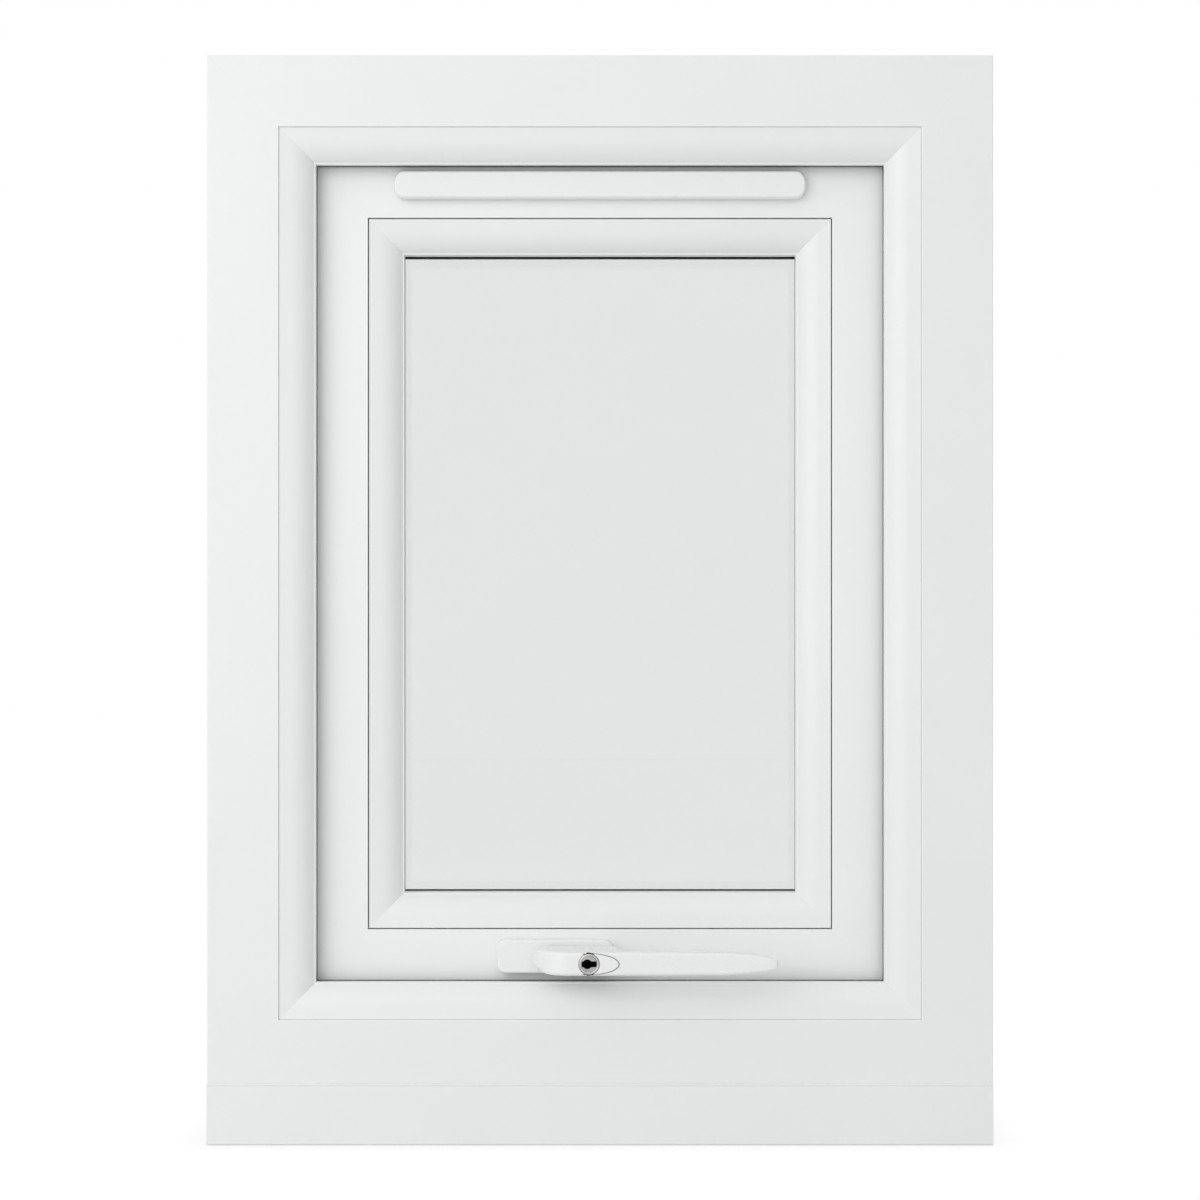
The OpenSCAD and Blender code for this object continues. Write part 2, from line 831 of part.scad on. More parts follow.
flap_wall = 1.5;
flap_pivot_y = y_sash - 3.5;
flap_pivot_z = vent_z - vent_h / 2 + 3.7;
flap_rib_x = vent_l / 2 - 16;
vent_pin_r = 1.2;
vent_base_t = 2.5;

module vent_base() {
    color(white) difference() {
        union() {
            translate([0, 0, vent_z]) along_y(y_sash - vent_base_t, y_sash)
                stadium(vent_l - 16, vent_h - 5.6);
            for (s = [-1, 1])
                translate([s * (flap_rib_x - 4) - 1.5, flap_pivot_y, flap_pivot_z]) rotate([0, 90, 0])
                    cylinder(r = 1.9, h = 3, $fn = 32);
            for (s = [-1, 1])
                box(s * (flap_rib_x - 4) - 1.5, s * (flap_rib_x - 4) + 1.5, flap_pivot_y, y_sash,
                    flap_pivot_z - 1.4, flap_pivot_z + 1.9);
        }
        vent_slots(y_sash - vent_base_t - 1, y_sash + 1);
        for (s = [-1, 1])
            translate([s * (flap_rib_x - 4) - 3, flap_pivot_y, flap_pivot_z]) rotate([0, 90, 0])
                cylinder(r = vent_pin_r + fit, h = 6, $fn = 32);
        translate([0, y_sash - vent_base_t - 0.1, vent_z]) rotate([-90, 0, 0]) screw_hole();
        // pockets for the flap's ribs
        for (s = [-1, 1])
            box(s * flap_rib_x - 1.6, s * flap_rib_x + 1.6, y_sash - vent_base_t - 1, y_sash - 1.2,
                flap_pivot_z - 4, flap_pivot_z + 4);
    }
}

module vent_flap() {
    color(white) difference() {
        union() {
            difference() {
                translate([0, 0, vent_z]) along_y(vent_front, y_sash - 0.6) stadium(vent_l, vent_h);
                translate([0, 0, vent_z]) along_y(vent_front + flap_wall, y_sash)
                    stadium(vent_l - 2 * flap_wall, vent_h - 2 * flap_wall);
            }
            for (s = [-1, 1]) {
                box(s * flap_rib_x - 0.9, s * flap_rib_x + 0.9, vent_front + 1, flap_pivot_y + 1.3,
                    flap_pivot_z - 1.5, flap_pivot_z + 2);
                translate([s * (flap_rib_x - 2.4) - 2.9, flap_pivot_y, flap_pivot_z]) rotate([0, 90, 0])
                    cylinder(r = vent_pin_r, h = 5.8, $fn = 32);
            }
        }
        // room for the lower edge to swing in
        box(-vent_l, vent_l, y_sash - 2.2, y_sash + 1, vent_z - vent_h, flap_pivot_z - 0.6);
    }
}

canopy_h = 22;
canopy_d = 13;

module vent_canopy() {
    z0 = slot_z - 8;
    color(white) difference() {
        along_x(-vent_l / 2, vent_l / 2) polygon([
            [y_sash_out, z0], [y_sash_out + canopy_d, z0 - 2], [y_sash_out + canopy_d, z0 + 3],
            [y_sash_out + 3, z0 + canopy_h - 2], [y_sash_out, z0 + canopy_h - 1]
        ]);
        along_x(-vent_l / 2 + 1.6, vent_l / 2 - 1.6) polygon([
            [y_sash_out - 1, z0 - 3],
            [y_sash_out + canopy_d - 1.6, z0 - 3], [y_sash_out + canopy_d - 1.6, z0 + 2.5],
            [y_sash_out + 2, z0 + canopy_h - 6], [y_sash_out - 1, z0 + canopy_h - 6]
        ]);
    }
}

module vent_screws() {
    color(zinc) translate([0, y_sash - vent_base_t - 0.1, vent_z]) rotate([-90, 0, 0]) screw(12);
}

// ---------- friction stays ----------

// Everything on a jamb: local Z is the distance from the frame's rebate face towards
// the sash, local X is depth along Y and local Y is height. The parts lie between the
// frame's rebate face and the sash's edge.
rebate_x = frame_w / 2 - frame_flat;

module jamb(side, z = 0) {
    translate([side * rebate_x, 0, z])
        multmatrix([[0, 0, -side, 0], [1, 0, 0, 0], [0, 1, 0, 0], [0, 0, 0, 1]]) children();
}

module disc(r, s0, s1, x = 0, y = 0) {
    translate([x, y, s0]) cylinder(r = r, h = s1 - s0, $fn = 48);
}

// Plate with round ends at height 0 and height len
module link_plate(len, s) {
    for (y = [0, len]) disc(arm_w / 2, s, s + plate_t, 0, y);
    translate([-arm_w / 2, 0, s]) cube([arm_w, len, plate_t]);
}

module track(side) {
    color(zinc) jamb(side) {
        difference() {
            union() {
                translate([-track_w / 2, track_z0, 0]) cube([track_w, track_l, track_t]);
                for (m = [0, 1]) mirror([m, 0, 0]) {
                    translate([track_w / 2 - 1.1, track_z0, 0]) cube([1.1, track_l, track_wall_h]);
                    translate([track_w / 2 - 3, track_z0, track_wall_h - 0.8]) cube([3, track_l, 0.8]);
                }
            }
            for (z = track_screws) translate([0, z, track_t + 0.2]) rotate([180, 0, 0]) screw_hole();
        }
        disc(boss_r, track_t - 0.1, layer_strut - 0.3, 0, stay_f_z);
        disc(rivet_r, track_t, layer_strut + plate_t, 0, stay_f_z);
        disc(boss_r, track_t - 0.1, layer_arm - 0.3, nose_pivot_y, stay_g_z);
        disc(rivet_r, track_t, layer_arm + plate_t + 0.3, nose_pivot_y, stay_g_z);
        disc(boss_r - 0.2, layer_arm + plate_t + 0.2, layer_arm + plate_t + 0.6, nose_pivot_y, stay_g_z);
    }
}

track_screws = [track_z0 + 8, stay_f_z - 18, stay_g_z - 14, stay_q_z];

module stay_track_left() {
    track(-1);
}

module stay_track_right() {
    track(1);
}

module frame_screws() {
    color(zinc) {
        for (side = [-1, 1]) for (z = track_screws)
            jamb(side, z) translate([0, 0, track_t + 0.2]) rotate([180, 0, 0]) screw(18);
        for (x = keep_x) for (s = [-1, 1])
            translate([x + s * keep_screw_x, groove_y - 2, keep_z0 + keep_t + 0.2])
                rotate([180, 0, 0]) screw(18);
    }
}

module pivot_hole(s, y, r = rivet_r + fit, x = 0) {
    disc(r, s - 1, s + plate_t + 1, x, y);
}

// Rivet through a plate at layer s, held by what lies below it
module rivet(s0, s, y, x = 0) {
    disc(boss_r, s0, s - 0.3, x, y);
    disc(rivet_r, s0, s + plate_t + 0.3, x, y);
    disc(boss_r - 0.2, s + plate_t + 0.2, s + plate_t + 0.6, x, y);
}

module strut(side) {
    color(zinc) jamb(side) {
        difference() {
            translate([0, stay_m_z, 0]) link_plate(strut_l, layer_strut);
            pivot_hole(layer_strut, stay_f_z);
        }
        disc(rivet_r, layer_strut + 0.5, layer_arm + plate_t + 0.3, 0, stay_m_z);
        disc(boss_r - 0.2, layer_arm + plate_t + 0.2, layer_arm + plate_t + 0.6, 0, stay_m_z);
    }
}

module long_arm(side) {
    color(zinc) jamb(side) difference() {
        translate([0, stay_r_z, 0]) link_plate(arm_l, layer_arm);
        for (y = [stay_r_z, stay_m_z, stay_p_z]) pivot_hole(layer_arm, y);
    }
}

shoe_l = 30;

module shoe(side) {
    color([0.2, 0.2, 0.2]) jamb(side) {
        translate([-8.5, stay_r_z - shoe_l / 2, track_t + 0.35]) cube([17, shoe_l, 1.3]);
        rivet(track_t + 1, layer_arm, stay_r_z);
    }
}

module nose_arm(side) {
    angle = atan(nose_pivot_y / nose_l);
    color(zinc) jamb(side) difference() {
        translate([nose_pivot_y, stay_g_z, 0]) rotate(angle)
            link_plate(norm([nose_pivot_y, nose_l]), layer_arm);
        pivot_hole(layer_arm, stay_g_z, x = nose_pivot_y);
        pivot_hole(layer_arm, stay_q_z, r = rivet_r + nose_fit);
    }
}

bar_z0_stay = stay_p_z - 62;
bar_l = stay_q_z + 6 - bar_z0_stay;
bar_screws = [bar_z0_stay + 8, stay_p_z - 26, (stay_p_z + stay_q_z) / 2];

// The bar on the sash's edge, with its two pivots reaching back to the arms
module sash_bar(side) {
    color(zinc) jamb(side) {
        difference() {
            translate([-9, bar_z0_stay, layer_bar]) cube([18, bar_l, rebate_gap - layer_bar]);
            for (z = bar_screws) translate([0, z, layer_bar - 0.2]) screw_hole();
        }
        for (y = [stay_p_z, stay_q_z]) {
            disc(boss_r, layer_arm + plate_t + 0.3, layer_bar + 0.1, 0, y);
            disc(rivet_r, layer_arm - 0.3, layer_bar, 0, y);
            disc(boss_r - 0.2, layer_arm - 0.6, layer_arm - 0.2, 0, y);
        }
    }
}

module sash_bar_left() {
    sash_bar(-1);
}

module sash_bar_right() {
    sash_bar(1);
}

module sash_screws() {
    color(zinc) {
        for (side = [-1, 1]) for (z = bar_screws)
            jamb(side, z) translate([0, 0, layer_bar - 0.2]) screw(18);
        for (x = faceplate_screws) translate([x, groove_y, sash_z0]) screw(16);
    }
}

module strut_left() {
    strut(-1);
}

module strut_right() {
    strut(1);
}

module long_arm_left() {
    long_arm(-1);
}

module long_arm_right() {
    long_arm(1);
}

module shoe_left() {
    shoe(-1);
}

module shoe_right() {
    shoe(1);
}

module nose_arm_left() {
    nose_arm(-1);
}

module nose_arm_right() {
    nose_arm(1);
}

frame_head();
frame_bottom_rail();
frame_left_jamb();
frame_right_jamb();
frame_gasket();
cill();
cill_end_caps();
drain_caps();
stay_track_left();
stay_track_right();
keep_left();
keep_right();
frame_screws();
sash_top_rail();
sash_bottom_rail();
sash_left_stile();
sash_right_stile();
sash_gasket();
outer_glazing_gasket();
bead_gasket();
bead_top();
bead_bottom();
bead_left();
bead_right();
inner_pane();
outer_pane();
spacer_bar();
unit_sealant();
glazing_packers();
sash_bar_left();
sash_bar_right();
sash_screws();
espag_faceplate();
gearbox_case();
gearbox_cover();
vent_base();
vent_flap();
vent_canopy();
vent_screws();
handle_base();
handle_screws();
handle_lever();
handle_spindle();
gearbox_pinion();
lock_button();
lock_plug();
drive_bar();
drive_cams();
strut_left();
long_arm_left();
shoe_left();
nose_arm_left();
strut_right();
long_arm_right();
shoe_right();
nose_arm_right();
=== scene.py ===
import math
import bpy
import bmesh
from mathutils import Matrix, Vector


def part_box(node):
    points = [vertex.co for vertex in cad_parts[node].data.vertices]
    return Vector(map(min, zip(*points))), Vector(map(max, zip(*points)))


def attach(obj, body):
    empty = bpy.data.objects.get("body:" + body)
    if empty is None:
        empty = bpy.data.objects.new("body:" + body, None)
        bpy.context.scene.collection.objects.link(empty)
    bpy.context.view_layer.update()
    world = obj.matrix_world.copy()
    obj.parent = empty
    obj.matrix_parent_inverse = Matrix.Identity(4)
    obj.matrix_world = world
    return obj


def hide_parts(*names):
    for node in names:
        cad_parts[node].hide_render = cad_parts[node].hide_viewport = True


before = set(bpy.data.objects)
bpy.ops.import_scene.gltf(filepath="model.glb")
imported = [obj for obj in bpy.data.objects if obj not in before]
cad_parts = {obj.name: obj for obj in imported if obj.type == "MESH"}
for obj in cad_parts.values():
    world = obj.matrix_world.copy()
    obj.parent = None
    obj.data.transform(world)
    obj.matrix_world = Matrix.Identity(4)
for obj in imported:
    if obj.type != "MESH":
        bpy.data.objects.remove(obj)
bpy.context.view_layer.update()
MM = 0.001


def low(node):
    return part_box(node)[0]


def high(node):
    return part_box(node)[1]


# ---------- measures, all from the CAD ----------

FRAME_X = high("frame_right_jamb").x
FRAME_Z0 = low("frame_bottom_rail").z
FRAME_Z1 = high("frame_head").z
MID_Z = (FRAME_Z0 + FRAME_Z1) / 2
FRAME_H = (FRAME_Z1 - FRAME_Z0) / 2
Y_ROOM = low("frame_head").y
Y_OUT = high("frame_head").y
SIGHT = FRAME_X - low("frame_right_jamb").x
FLAT = FRAME_X - high("stay_track_right").x
Y_UPSTAND = low("frame_gasket").y

SASH_X = high("sash_right_stile").x
SASH_H = high("sash_top_rail").z - MID_Z
Y_SASH = low("sash_top_rail").y
Y_SASH_OUT = high("sash_top_rail").y
Y_LEG = high("sash_gasket").y
LEG_TIP = SASH_X - low("sash_right_stile").x
BODY_U = SASH_X - low("sash_bar_right").x
BEAD_LIP_X = low("bead_right").x
BEAD_W = 20 * MM
BEAD_U = SASH_X - BEAD_LIP_X - BEAD_W
BEAD_BACK = high("bead_right").y

# the sculptured edge of the frame and of the beads
FACET_STEP = 0.7 * MM
FACET_LEN = 7 * MM
FACET_ANGLE = math.radians(8)
ROUND_END = math.radians(54)
LIP = 0.9 * MM
MITRE_EASE = 0.05 * MM


# ---------- outlines ----------

def rounded(corners, steps=6):
    """Closed outline from (a, b) or (a, b, radius) corners; a radius becomes an arc."""
    points = []
    count = len(corners)
    for i, corner in enumerate(corners):
        here = Vector(corner[:2])
        if len(corner) < 3:
            points.append(here)
            continue
        back = Vector(corners[i - 1][:2]) - here
        ahead = Vector(corners[(i + 1) % count][:2]) - here
        half = back.angle(ahead) / 2
        cut = min(corner[2] / math.tan(half), 0.49 * back.length, 0.49 * ahead.length)
        radius = cut * math.tan(half)
        centre = here + (back.normalized() + ahead.normalized()).normalized() * (radius / math.sin(half))
        start = here + back.normalized() * cut - centre
        end = here + ahead.normalized() * cut - centre
        a0 = math.atan2(start.y, start.x)
        turn = (math.atan2(end.y, end.x) - a0 + math.pi) % (2 * math.pi) - math.pi
        for k in range(steps + 1):
            a = a0 + turn * k / steps
            points.append(centre + radius * Vector((math.cos(a), math.sin(a))))
    return points


def inset(points, amount):
    """The outline moved inwards by amount, corner by corner."""
    area = sum(p.x * q.y - q.x * p.y for p, q in zip(points, points[1:] + points[:1]))
    sign = 1 if area > 0 else -1
    moved = []
    for i, here in enumerate(points):
        before = (here - points[i - 1]).normalized()
        after = (points[(i + 1) % len(points)] - here).normalized()
        n0 = sign * Vector((-before.y, before.x))
        n1 = sign * Vector((-after.y, after.x))
        middle = (n0 + n1).normalized()
        moved.append(here + middle * (amount / max(0.5, middle.dot(n0))))
    return moved


def stadium(cx, cz, length, height, end, steps=12):
    """Outline in X and Z of a long plate whose half-elliptical ends are end deep."""
    half = height / 2
    reach = length / 2 - end
    right = [
        Vector((cx + reach + end * math.cos(a), cz + half * math.sin(a)))
        for a in (math.radians(-90 + 180 * k / steps) for k in range(steps + 1))
    ]
    left = [Vector((2 * cx - p.x, 2 * cz - p.y)) for p in right]
    return right + left


def circle(cx, cz, radius, steps=64):
    return [
        Vector((cx + radius * math.cos(a), cz + radius * math.sin(a)))
        for a in (2 * math.pi * k / steps for k in range(steps))
    ]


def sculptured(u0, y0, width):
    """Points from the foot of the step at (u0, y0) to the lip, width further in."""
    ax = u0 + FACET_LEN
    ay = y0 + FACET_STEP + FACET_LEN * math.tan(FACET_ANGLE)
    radius = (width - FACET_LEN - LIP) / (math.sin(ROUND_END) - math.sin(FACET_ANGLE))
    points = [(u0, y0 + FACET_STEP + 0.5 * MM), (u0 + 0.4 * MM, y0 + FACET_STEP + 0.08 * MM)]
    steps = 20
    for k in range(steps + 1):
        a = FACET_ANGLE + (ROUND_END - FACET_ANGLE) * k / steps
        points.append((
            ax + radius * (math.sin(a) - math.sin(FACET_ANGLE)),
            ay + radius * (math.cos(FACET_ANGLE) - math.cos(a)),
        ))
    lip_y = points[-1][1] + 0.1 * MM
    points.append((u0 + width, lip_y, 0.2 * MM))
    return points


# ---------- meshes ----------

def mesh_piece(name, rings, joined=False):
    """A closed skin over rings of equal length, capped or with its last ring joined to its first."""
    bm = bmesh.new()
    rows = [[bm.verts.new(p) for p in ring] for ring in rings]
    if joined:
        rows.append(rows[0])
    count = len(rows[0])
    for a, b in zip(rows, rows[1:]):
        for i in range(count):
            j = (i + 1) % count
            bm.faces.new((a[i], a[j], b[j], b[i]))
    if not joined:
        bm.faces.new(rows[0])
        bm.faces.new(list(reversed(rows[-1])))
    bmesh.ops.recalc_face_normals(bm, faces=bm.faces)
    mesh = bpy.data.meshes.new(name)
    bm.to_mesh(mesh)
    bm.free()
    obj = bpy.data.objects.new(name, mesh)
    bpy.context.scene.collection.objects.link(obj)
    return obj


def smooth(obj, angle=28):
    obj.data.shade_smooth()
    obj.data.set_sharp_from_angle(angle=math.radians(angle))
    shade = obj.modifiers.new("normals", "WEIGHTED_NORMAL")
    shade.keep_sharp = True
    return obj


def cut(obj, *cutters):
    for cutter in cutters:
        knife = obj.modifiers.new("cut", "BOOLEAN")
        knife.operation = "DIFFERENCE"
        knife.solver = "EXACT"
        knife.object = cutter
    graph = bpy.context.evaluated_depsgraph_get()
    old = obj.data
    obj.data = bpy.data.meshes.new_from_object(obj.evaluated_get(graph))
    obj.modifiers.clear()
    bpy.data.meshes.remove(old)
    for cutter in cutters:
        bpy.data.objects.remove(cutter)
    return obj


def prism_y(name, outline, y0, y1):
    """An XZ outline extruded from y0 to y1."""
    return mesh_piece(name, [[(p.x, y, p.y) for p in outline] for y in (y0, y1)])


def prism_x(name, outline, x0, x1, ease):
    """A YZ outline extruded from x0 to x1, with eased ends."""
    small = inset(outline, ease)
    rings = [(x0, small), (x0 + ease, outline), (x1 - ease, outline), (x1, small)]
    return mesh_piece(name, [[(x, p.x, p.y) for p in ring] for x, ring in rings])


def prism_z(name, outline, z0, z1):
    """An XY outline extruded from z0 to z1."""
    return mesh_piece(name, [[(p.x, p.y, z) for p in outline] for z in (z0, z1)])


def faced(name, outline, y_front, y_back, width, depth, steps=6, back_ease=0.3 * MM):
    """A plate whose front edge is rounded over by width and depth."""
    rings = [(y_front + depth * (1 - math.cos(math.pi / 2 * k / steps)),
              inset(outline, width * (1 - math.sin(math.pi / 2 * k / steps)))) for k in range(steps + 1)]
    rings.append((y_back - back_ease, outline))
    rings.append((y_back, inset(outline, back_ease)))
    return mesh_piece(name, [[(p.x, y, p.y) for p in ring] for y, ring in rings])


def side_point(half_w, half_h, side, u, y, t):
    """The point u in from one side of a rectangle and t along it, anticlockwise from the bottom."""
    if side == 0:
        return (half_w - t, y, MID_Z - half_h + u)
    if side == 1:
        return (half_w - u, y, MID_Z + half_h - t)
    if side == 2:
        return (-half_w + t, y, MID_Z + half_h - u)
    return (-half_w + u, y, MID_Z - half_h + t)


def rail(name, outline, half_w, half_h, side):
    """One mitred length of a section, on one side of a rectangle round the middle."""
    length = 2 * (half_w if side % 2 == 0 else half_h)
    small = inset(outline, MITRE_EASE)
    rings = []
    for ring, off in ((small, 0), (outline, MITRE_EASE)):
        rings.append([side_point(half_w, half_h, side, p.x, p.y, p.x + off) for p in ring])
    for ring, off in ((outline, MITRE_EASE), (small, 0)):
        rings.append([side_point(half_w, half_h, side, p.x, p.y, length - p.x - off) for p in ring])
    return mesh_piece(name, rings)


# ---------- materials ----------

def surface(name, dark, light, rough, stretch=(1, 1, 1), patch=9, grain=900, bump=0.05,
            metallic=0.0, coat=0.0, specular=0.5, streak=0.0):
    """A node material: a soft colour drift, and a fine grain that sets the roughness and a faint bump."""
    mat = bpy.data.materials.new(name)
    mat.use_nodes = True
    tree = mat.node_tree
    tree.nodes.clear()
    out = tree.nodes.new("ShaderNodeOutputMaterial")
    bsdf = tree.nodes.new("ShaderNodeBsdfPrincipled")
    tree.links.new(bsdf.outputs["BSDF"], out.inputs["Surface"])
    coords = tree.nodes.new("ShaderNodeTexCoord")
    mapping = tree.nodes.new("ShaderNodeMapping")
    mapping.inputs["Scale"].default_value = stretch
    tree.links.new(coords.outputs["Object"], mapping.inputs["Vector"])
    drift = tree.nodes.new("ShaderNodeTexNoise")
    drift.inputs["Scale"].default_value = patch
    drift.inputs["Detail"].default_value = 5
    tree.links.new(coords.outputs["Object"], drift.inputs["Vector"])
    ramp = tree.nodes.new("ShaderNodeValToRGB")
    ramp.color_ramp.elements[0].position = 0.3
    ramp.color_ramp.elements[1].position = 0.7
    ramp.color_ramp.elements[0].color = (*dark, 1)
    ramp.color_ramp.elements[1].color = (*light, 1)
    tree.links.new(drift.outputs["Fac"], ramp.inputs["Fac"])
    tree.links.new(ramp.outputs["Color"], bsdf.inputs["Base Color"])
    fine = tree.nodes.new("ShaderNodeTexNoise")
    fine.inputs["Scale"].default_value = grain
    fine.inputs["Detail"].default_value = 3
    tree.links.new(mapping.outputs["Vector"], fine.inputs["Vector"])
    spread = tree.nodes.new("ShaderNodeMapRange")
    spread.inputs["From Min"].default_value = 0.3
    spread.inputs["From Max"].default_value = 0.7
    spread.inputs["To Min"].default_value = rough[0]
    spread.inputs["To Max"].default_value = rough[1]
    tree.links.new(fine.outputs["Fac"], spread.inputs["Value"])
    tree.links.new(spread.outputs["Result"], bsdf.inputs["Roughness"])
    relief = tree.nodes.new("ShaderNodeBump")
    relief.inputs["Strength"].default_value = bump
    relief.inputs["Distance"].default_value = 0.05 * MM
    tree.links.new(fine.outputs["Fac"], relief.inputs["Height"])
    tree.links.new(relief.outputs["Normal"], bsdf.inputs["Normal"])
    bsdf.inputs["Metallic"].default_value = metallic
    bsdf.inputs["Coat Weight"].default_value = coat
    bsdf.inputs["Coat Roughness"].default_value = 0.15
    bsdf.inputs["Specular IOR Level"].default_value = specular
    return mat


ALONG_X = (0.02, 1, 1)
ALONG_Z = (1, 1, 0.02)
WHITE_DARK = (0.845, 0.862, 0.856)
WHITE_LIGHT = (0.865, 0.878, 0.873)
# The sash is the frame's own uPVC painted lighter: painted light that lifts the shade the frame and the
# vent cast on it.
SASH_SHADE_LIFT_DARK = (0.886, 0.902, 0.897)
SASH_SHADE_LIFT_LIGHT = (0.902, 0.915, 0.910)
UPVC_ROUGH = (0.30, 0.42)
UPVC_BUMP = 0.10
upvc_x = surface("upvc_across", WHITE_DARK, WHITE_LIGHT, UPVC_ROUGH, ALONG_X, bump=UPVC_BUMP)
upvc_z = surface("upvc_upright", WHITE_DARK, WHITE_LIGHT, UPVC_ROUGH, ALONG_Z, bump=UPVC_BUMP)
sash_shade_lifted_x = surface("sash_upvc_shade_lifted_across", SASH_SHADE_LIFT_DARK, SASH_SHADE_LIFT_LIGHT, UPVC_ROUGH, ALONG_X, bump=UPVC_BUMP)
sash_shade_lifted_z = surface("sash_upvc_shade_lifted_upright", SASH_SHADE_LIFT_DARK, SASH_SHADE_LIFT_LIGHT, UPVC_ROUGH, ALONG_Z, bump=UPVC_BUMP)
moulded = surface("moulded_white", (0.855, 0.867, 0.863), (0.87, 0.88, 0.877), (0.26, 0.36),
                  grain=1400, bump=0.08)
powder = surface("powder_white", (0.862, 0.869, 0.866), (0.874, 0.880, 0.878), (0.24, 0.34),
                 grain=2600, bump=0.16, coat=0.15)
# Black rubber for the seals, also used as painted shade on the rear of the frame lip's inner side.
rubber_and_gap_shade = surface("epdm_rubber_and_gap_shade", (0.008, 0.008, 0.009), (0.014, 0.014, 0.015), (0.7, 0.88),
                 grain=1600, bump=0.3, specular=0.15)
ZINC_TONES = ((0.52, 0.53, 0.55), (0.66, 0.67, 0.68), (0.24, 0.42))
ZINC_GRAIN = {"patch": 40, "grain": 1500, "bump": 0.12, "metallic": 1.0}
zinc = surface("zinc_plate", *ZINC_TONES, ALONG_Z, **ZINC_GRAIN)
zinc_x = surface("zinc_plate_across", *ZINC_TONES, ALONG_X, **ZINC_GRAIN)
nickel = surface("satin_nickel", (0.60, 0.60, 0.59), (0.72, 0.72, 0.71), (0.22, 0.34),
                 grain=2200, bump=0.10, patch=60, metallic=1.0)
nickel_dark = surface("nickel_barrel", (0.48, 0.48, 0.47), (0.60, 0.60, 0.59), (0.28, 0.4),
                      grain=2200, bump=0.10, patch=90, metallic=1.0)
# Black for painted shade in the lock: its bore in the lever, the rim's sunken flank and the keyway.
painted_lock_shade = surface("lock_shade_paint", (0.006, 0.006, 0.006), (0.012, 0.012, 0.012), (0.7, 0.85),
               grain=900, bump=0.1, specular=0.2)
nylon = surface("black_nylon", (0.03, 0.03, 0.032), (0.05, 0.05, 0.052), (0.42, 0.56),
                grain=1200, bump=0.2)
aluminium = surface("mill_aluminium", (0.60, 0.61, 0.62), (0.72, 0.73, 0.74), (0.32, 0.46),
                    patch=50, grain=1800, bump=0.15, metallic=1.0)
sealant = surface("butyl_sealant", (0.015, 0.015, 0.015), (0.03, 0.03, 0.03), (0.5, 0.7),
                  grain=500, bump=0.5)
packer_blue = surface("packer_plastic", (0.05, 0.14, 0.42), (0.07, 0.18, 0.5), (0.4, 0.5),
                      grain=1100, bump=0.15)


GLASS_HEAD_ON = 0.04
GLASS_RISE = 5


def glass_material():
    """Float glass: clear with a faint tint, and a mirror that grows towards grazing angles."""
    mat = bpy.data.materials.new("float_glass")
    mat.use_nodes = True
    tree = mat.node_tree
    tree.nodes.clear()
    out = tree.nodes.new("ShaderNodeOutputMaterial")
    mix = tree.nodes.new("ShaderNodeMixShader")
    clear = tree.nodes.new("ShaderNodeBsdfTransparent")
    mirror = tree.nodes.new("ShaderNodeBsdfGlossy")
    facing = tree.nodes.new("ShaderNodeLayerWeight")
    rise = tree.nodes.new("ShaderNodeMath")
    rise.operation = "POWER"
    rise.inputs[1].default_value = GLASS_RISE
    share = tree.nodes.new("ShaderNodeMapRange")
    share.inputs["To Min"].default_value = GLASS_HEAD_ON
    share.inputs["To Max"].default_value = 1.0
    coords = tree.nodes.new("ShaderNodeTexCoord")
    film = tree.nodes.new("ShaderNodeTexNoise")
    spread = tree.nodes.new("ShaderNodeMapRange")
    tint = tree.nodes.new("ShaderNodeValToRGB")
    film.inputs["Scale"].default_value = 14
    film.inputs["Detail"].default_value = 4
    spread.inputs["To Min"].default_value = 0.0
    spread.inputs["To Max"].default_value = 0.03
    tint.color_ramp.elements[0].color = (0.941, 0.944, 0.943, 1)
    tint.color_ramp.elements[1].color = (0.946, 0.948, 0.947, 1)
    mirror.inputs["Color"].default_value = (0.95, 0.98, 0.97, 1)
    tree.links.new(coords.outputs["Object"], film.inputs["Vector"])
    tree.links.new(film.outputs["Fac"], spread.inputs["Value"])
    tree.links.new(film.outputs["Fac"], tint.inputs["Fac"])
    tree.links.new(tint.outputs["Color"], clear.inputs["Color"])
    tree.links.new(spread.outputs["Result"], mirror.inputs["Roughness"])
    tree.links.new(facing.outputs["Facing"], rise.inputs[0])
    tree.links.new(rise.outputs["Value"], share.inputs["Value"])
    tree.links.new(share.outputs["Result"], mix.inputs["Fac"])
    tree.links.new(clear.outputs["BSDF"], mix.inputs[1])
    tree.links.new(mirror.outputs["BSDF"], mix.inputs[2])
    tree.links.new(mix.outputs["Shader"], out.inputs["Surface"])
    return mat


glass = glass_material()


def paint(obj, mat):
    obj.data.materials.clear()
    obj.data.materials.append(mat)
    return obj


def place(obj, body, mat, slot, *nodes):
    paint(obj, mat)
    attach(obj, body)
    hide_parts(*nodes)
    return obj


def second(obj, mat, chosen):
    """A second material on the faces whose centre passes the test."""
    obj.data.materials.append(mat)
    for face in obj.data.polygons:
        if chosen(face.center):
            face.material_index = len(obj.data.materials) - 1


# ---------- outer frame ----------

# A black band on the rear of the lip's inner side, beside the seal: painted shade deep in the gap round the
# sash.
GAP_SHADE_DEPTH = 2.4 * MM
Y_GAP_SHADE = Y_UPSTAND - GAP_SHADE_DEPTH
frame_outline = rounded(
    [(0, Y_ROOM, 0.6 * MM), (FLAT, Y_ROOM, 0.3 * MM)]
    + sculptured(FLAT, Y_ROOM, SIGHT - FLAT)
    + [(SIGHT, Y_GAP_SHADE), (SIGHT, Y_UPSTAND, 0.3 * MM), (FLAT, Y_UPSTAND),
       (FLAT, Y_OUT, 0.4 * MM), (0, Y_OUT, 0.6 * MM)]
)

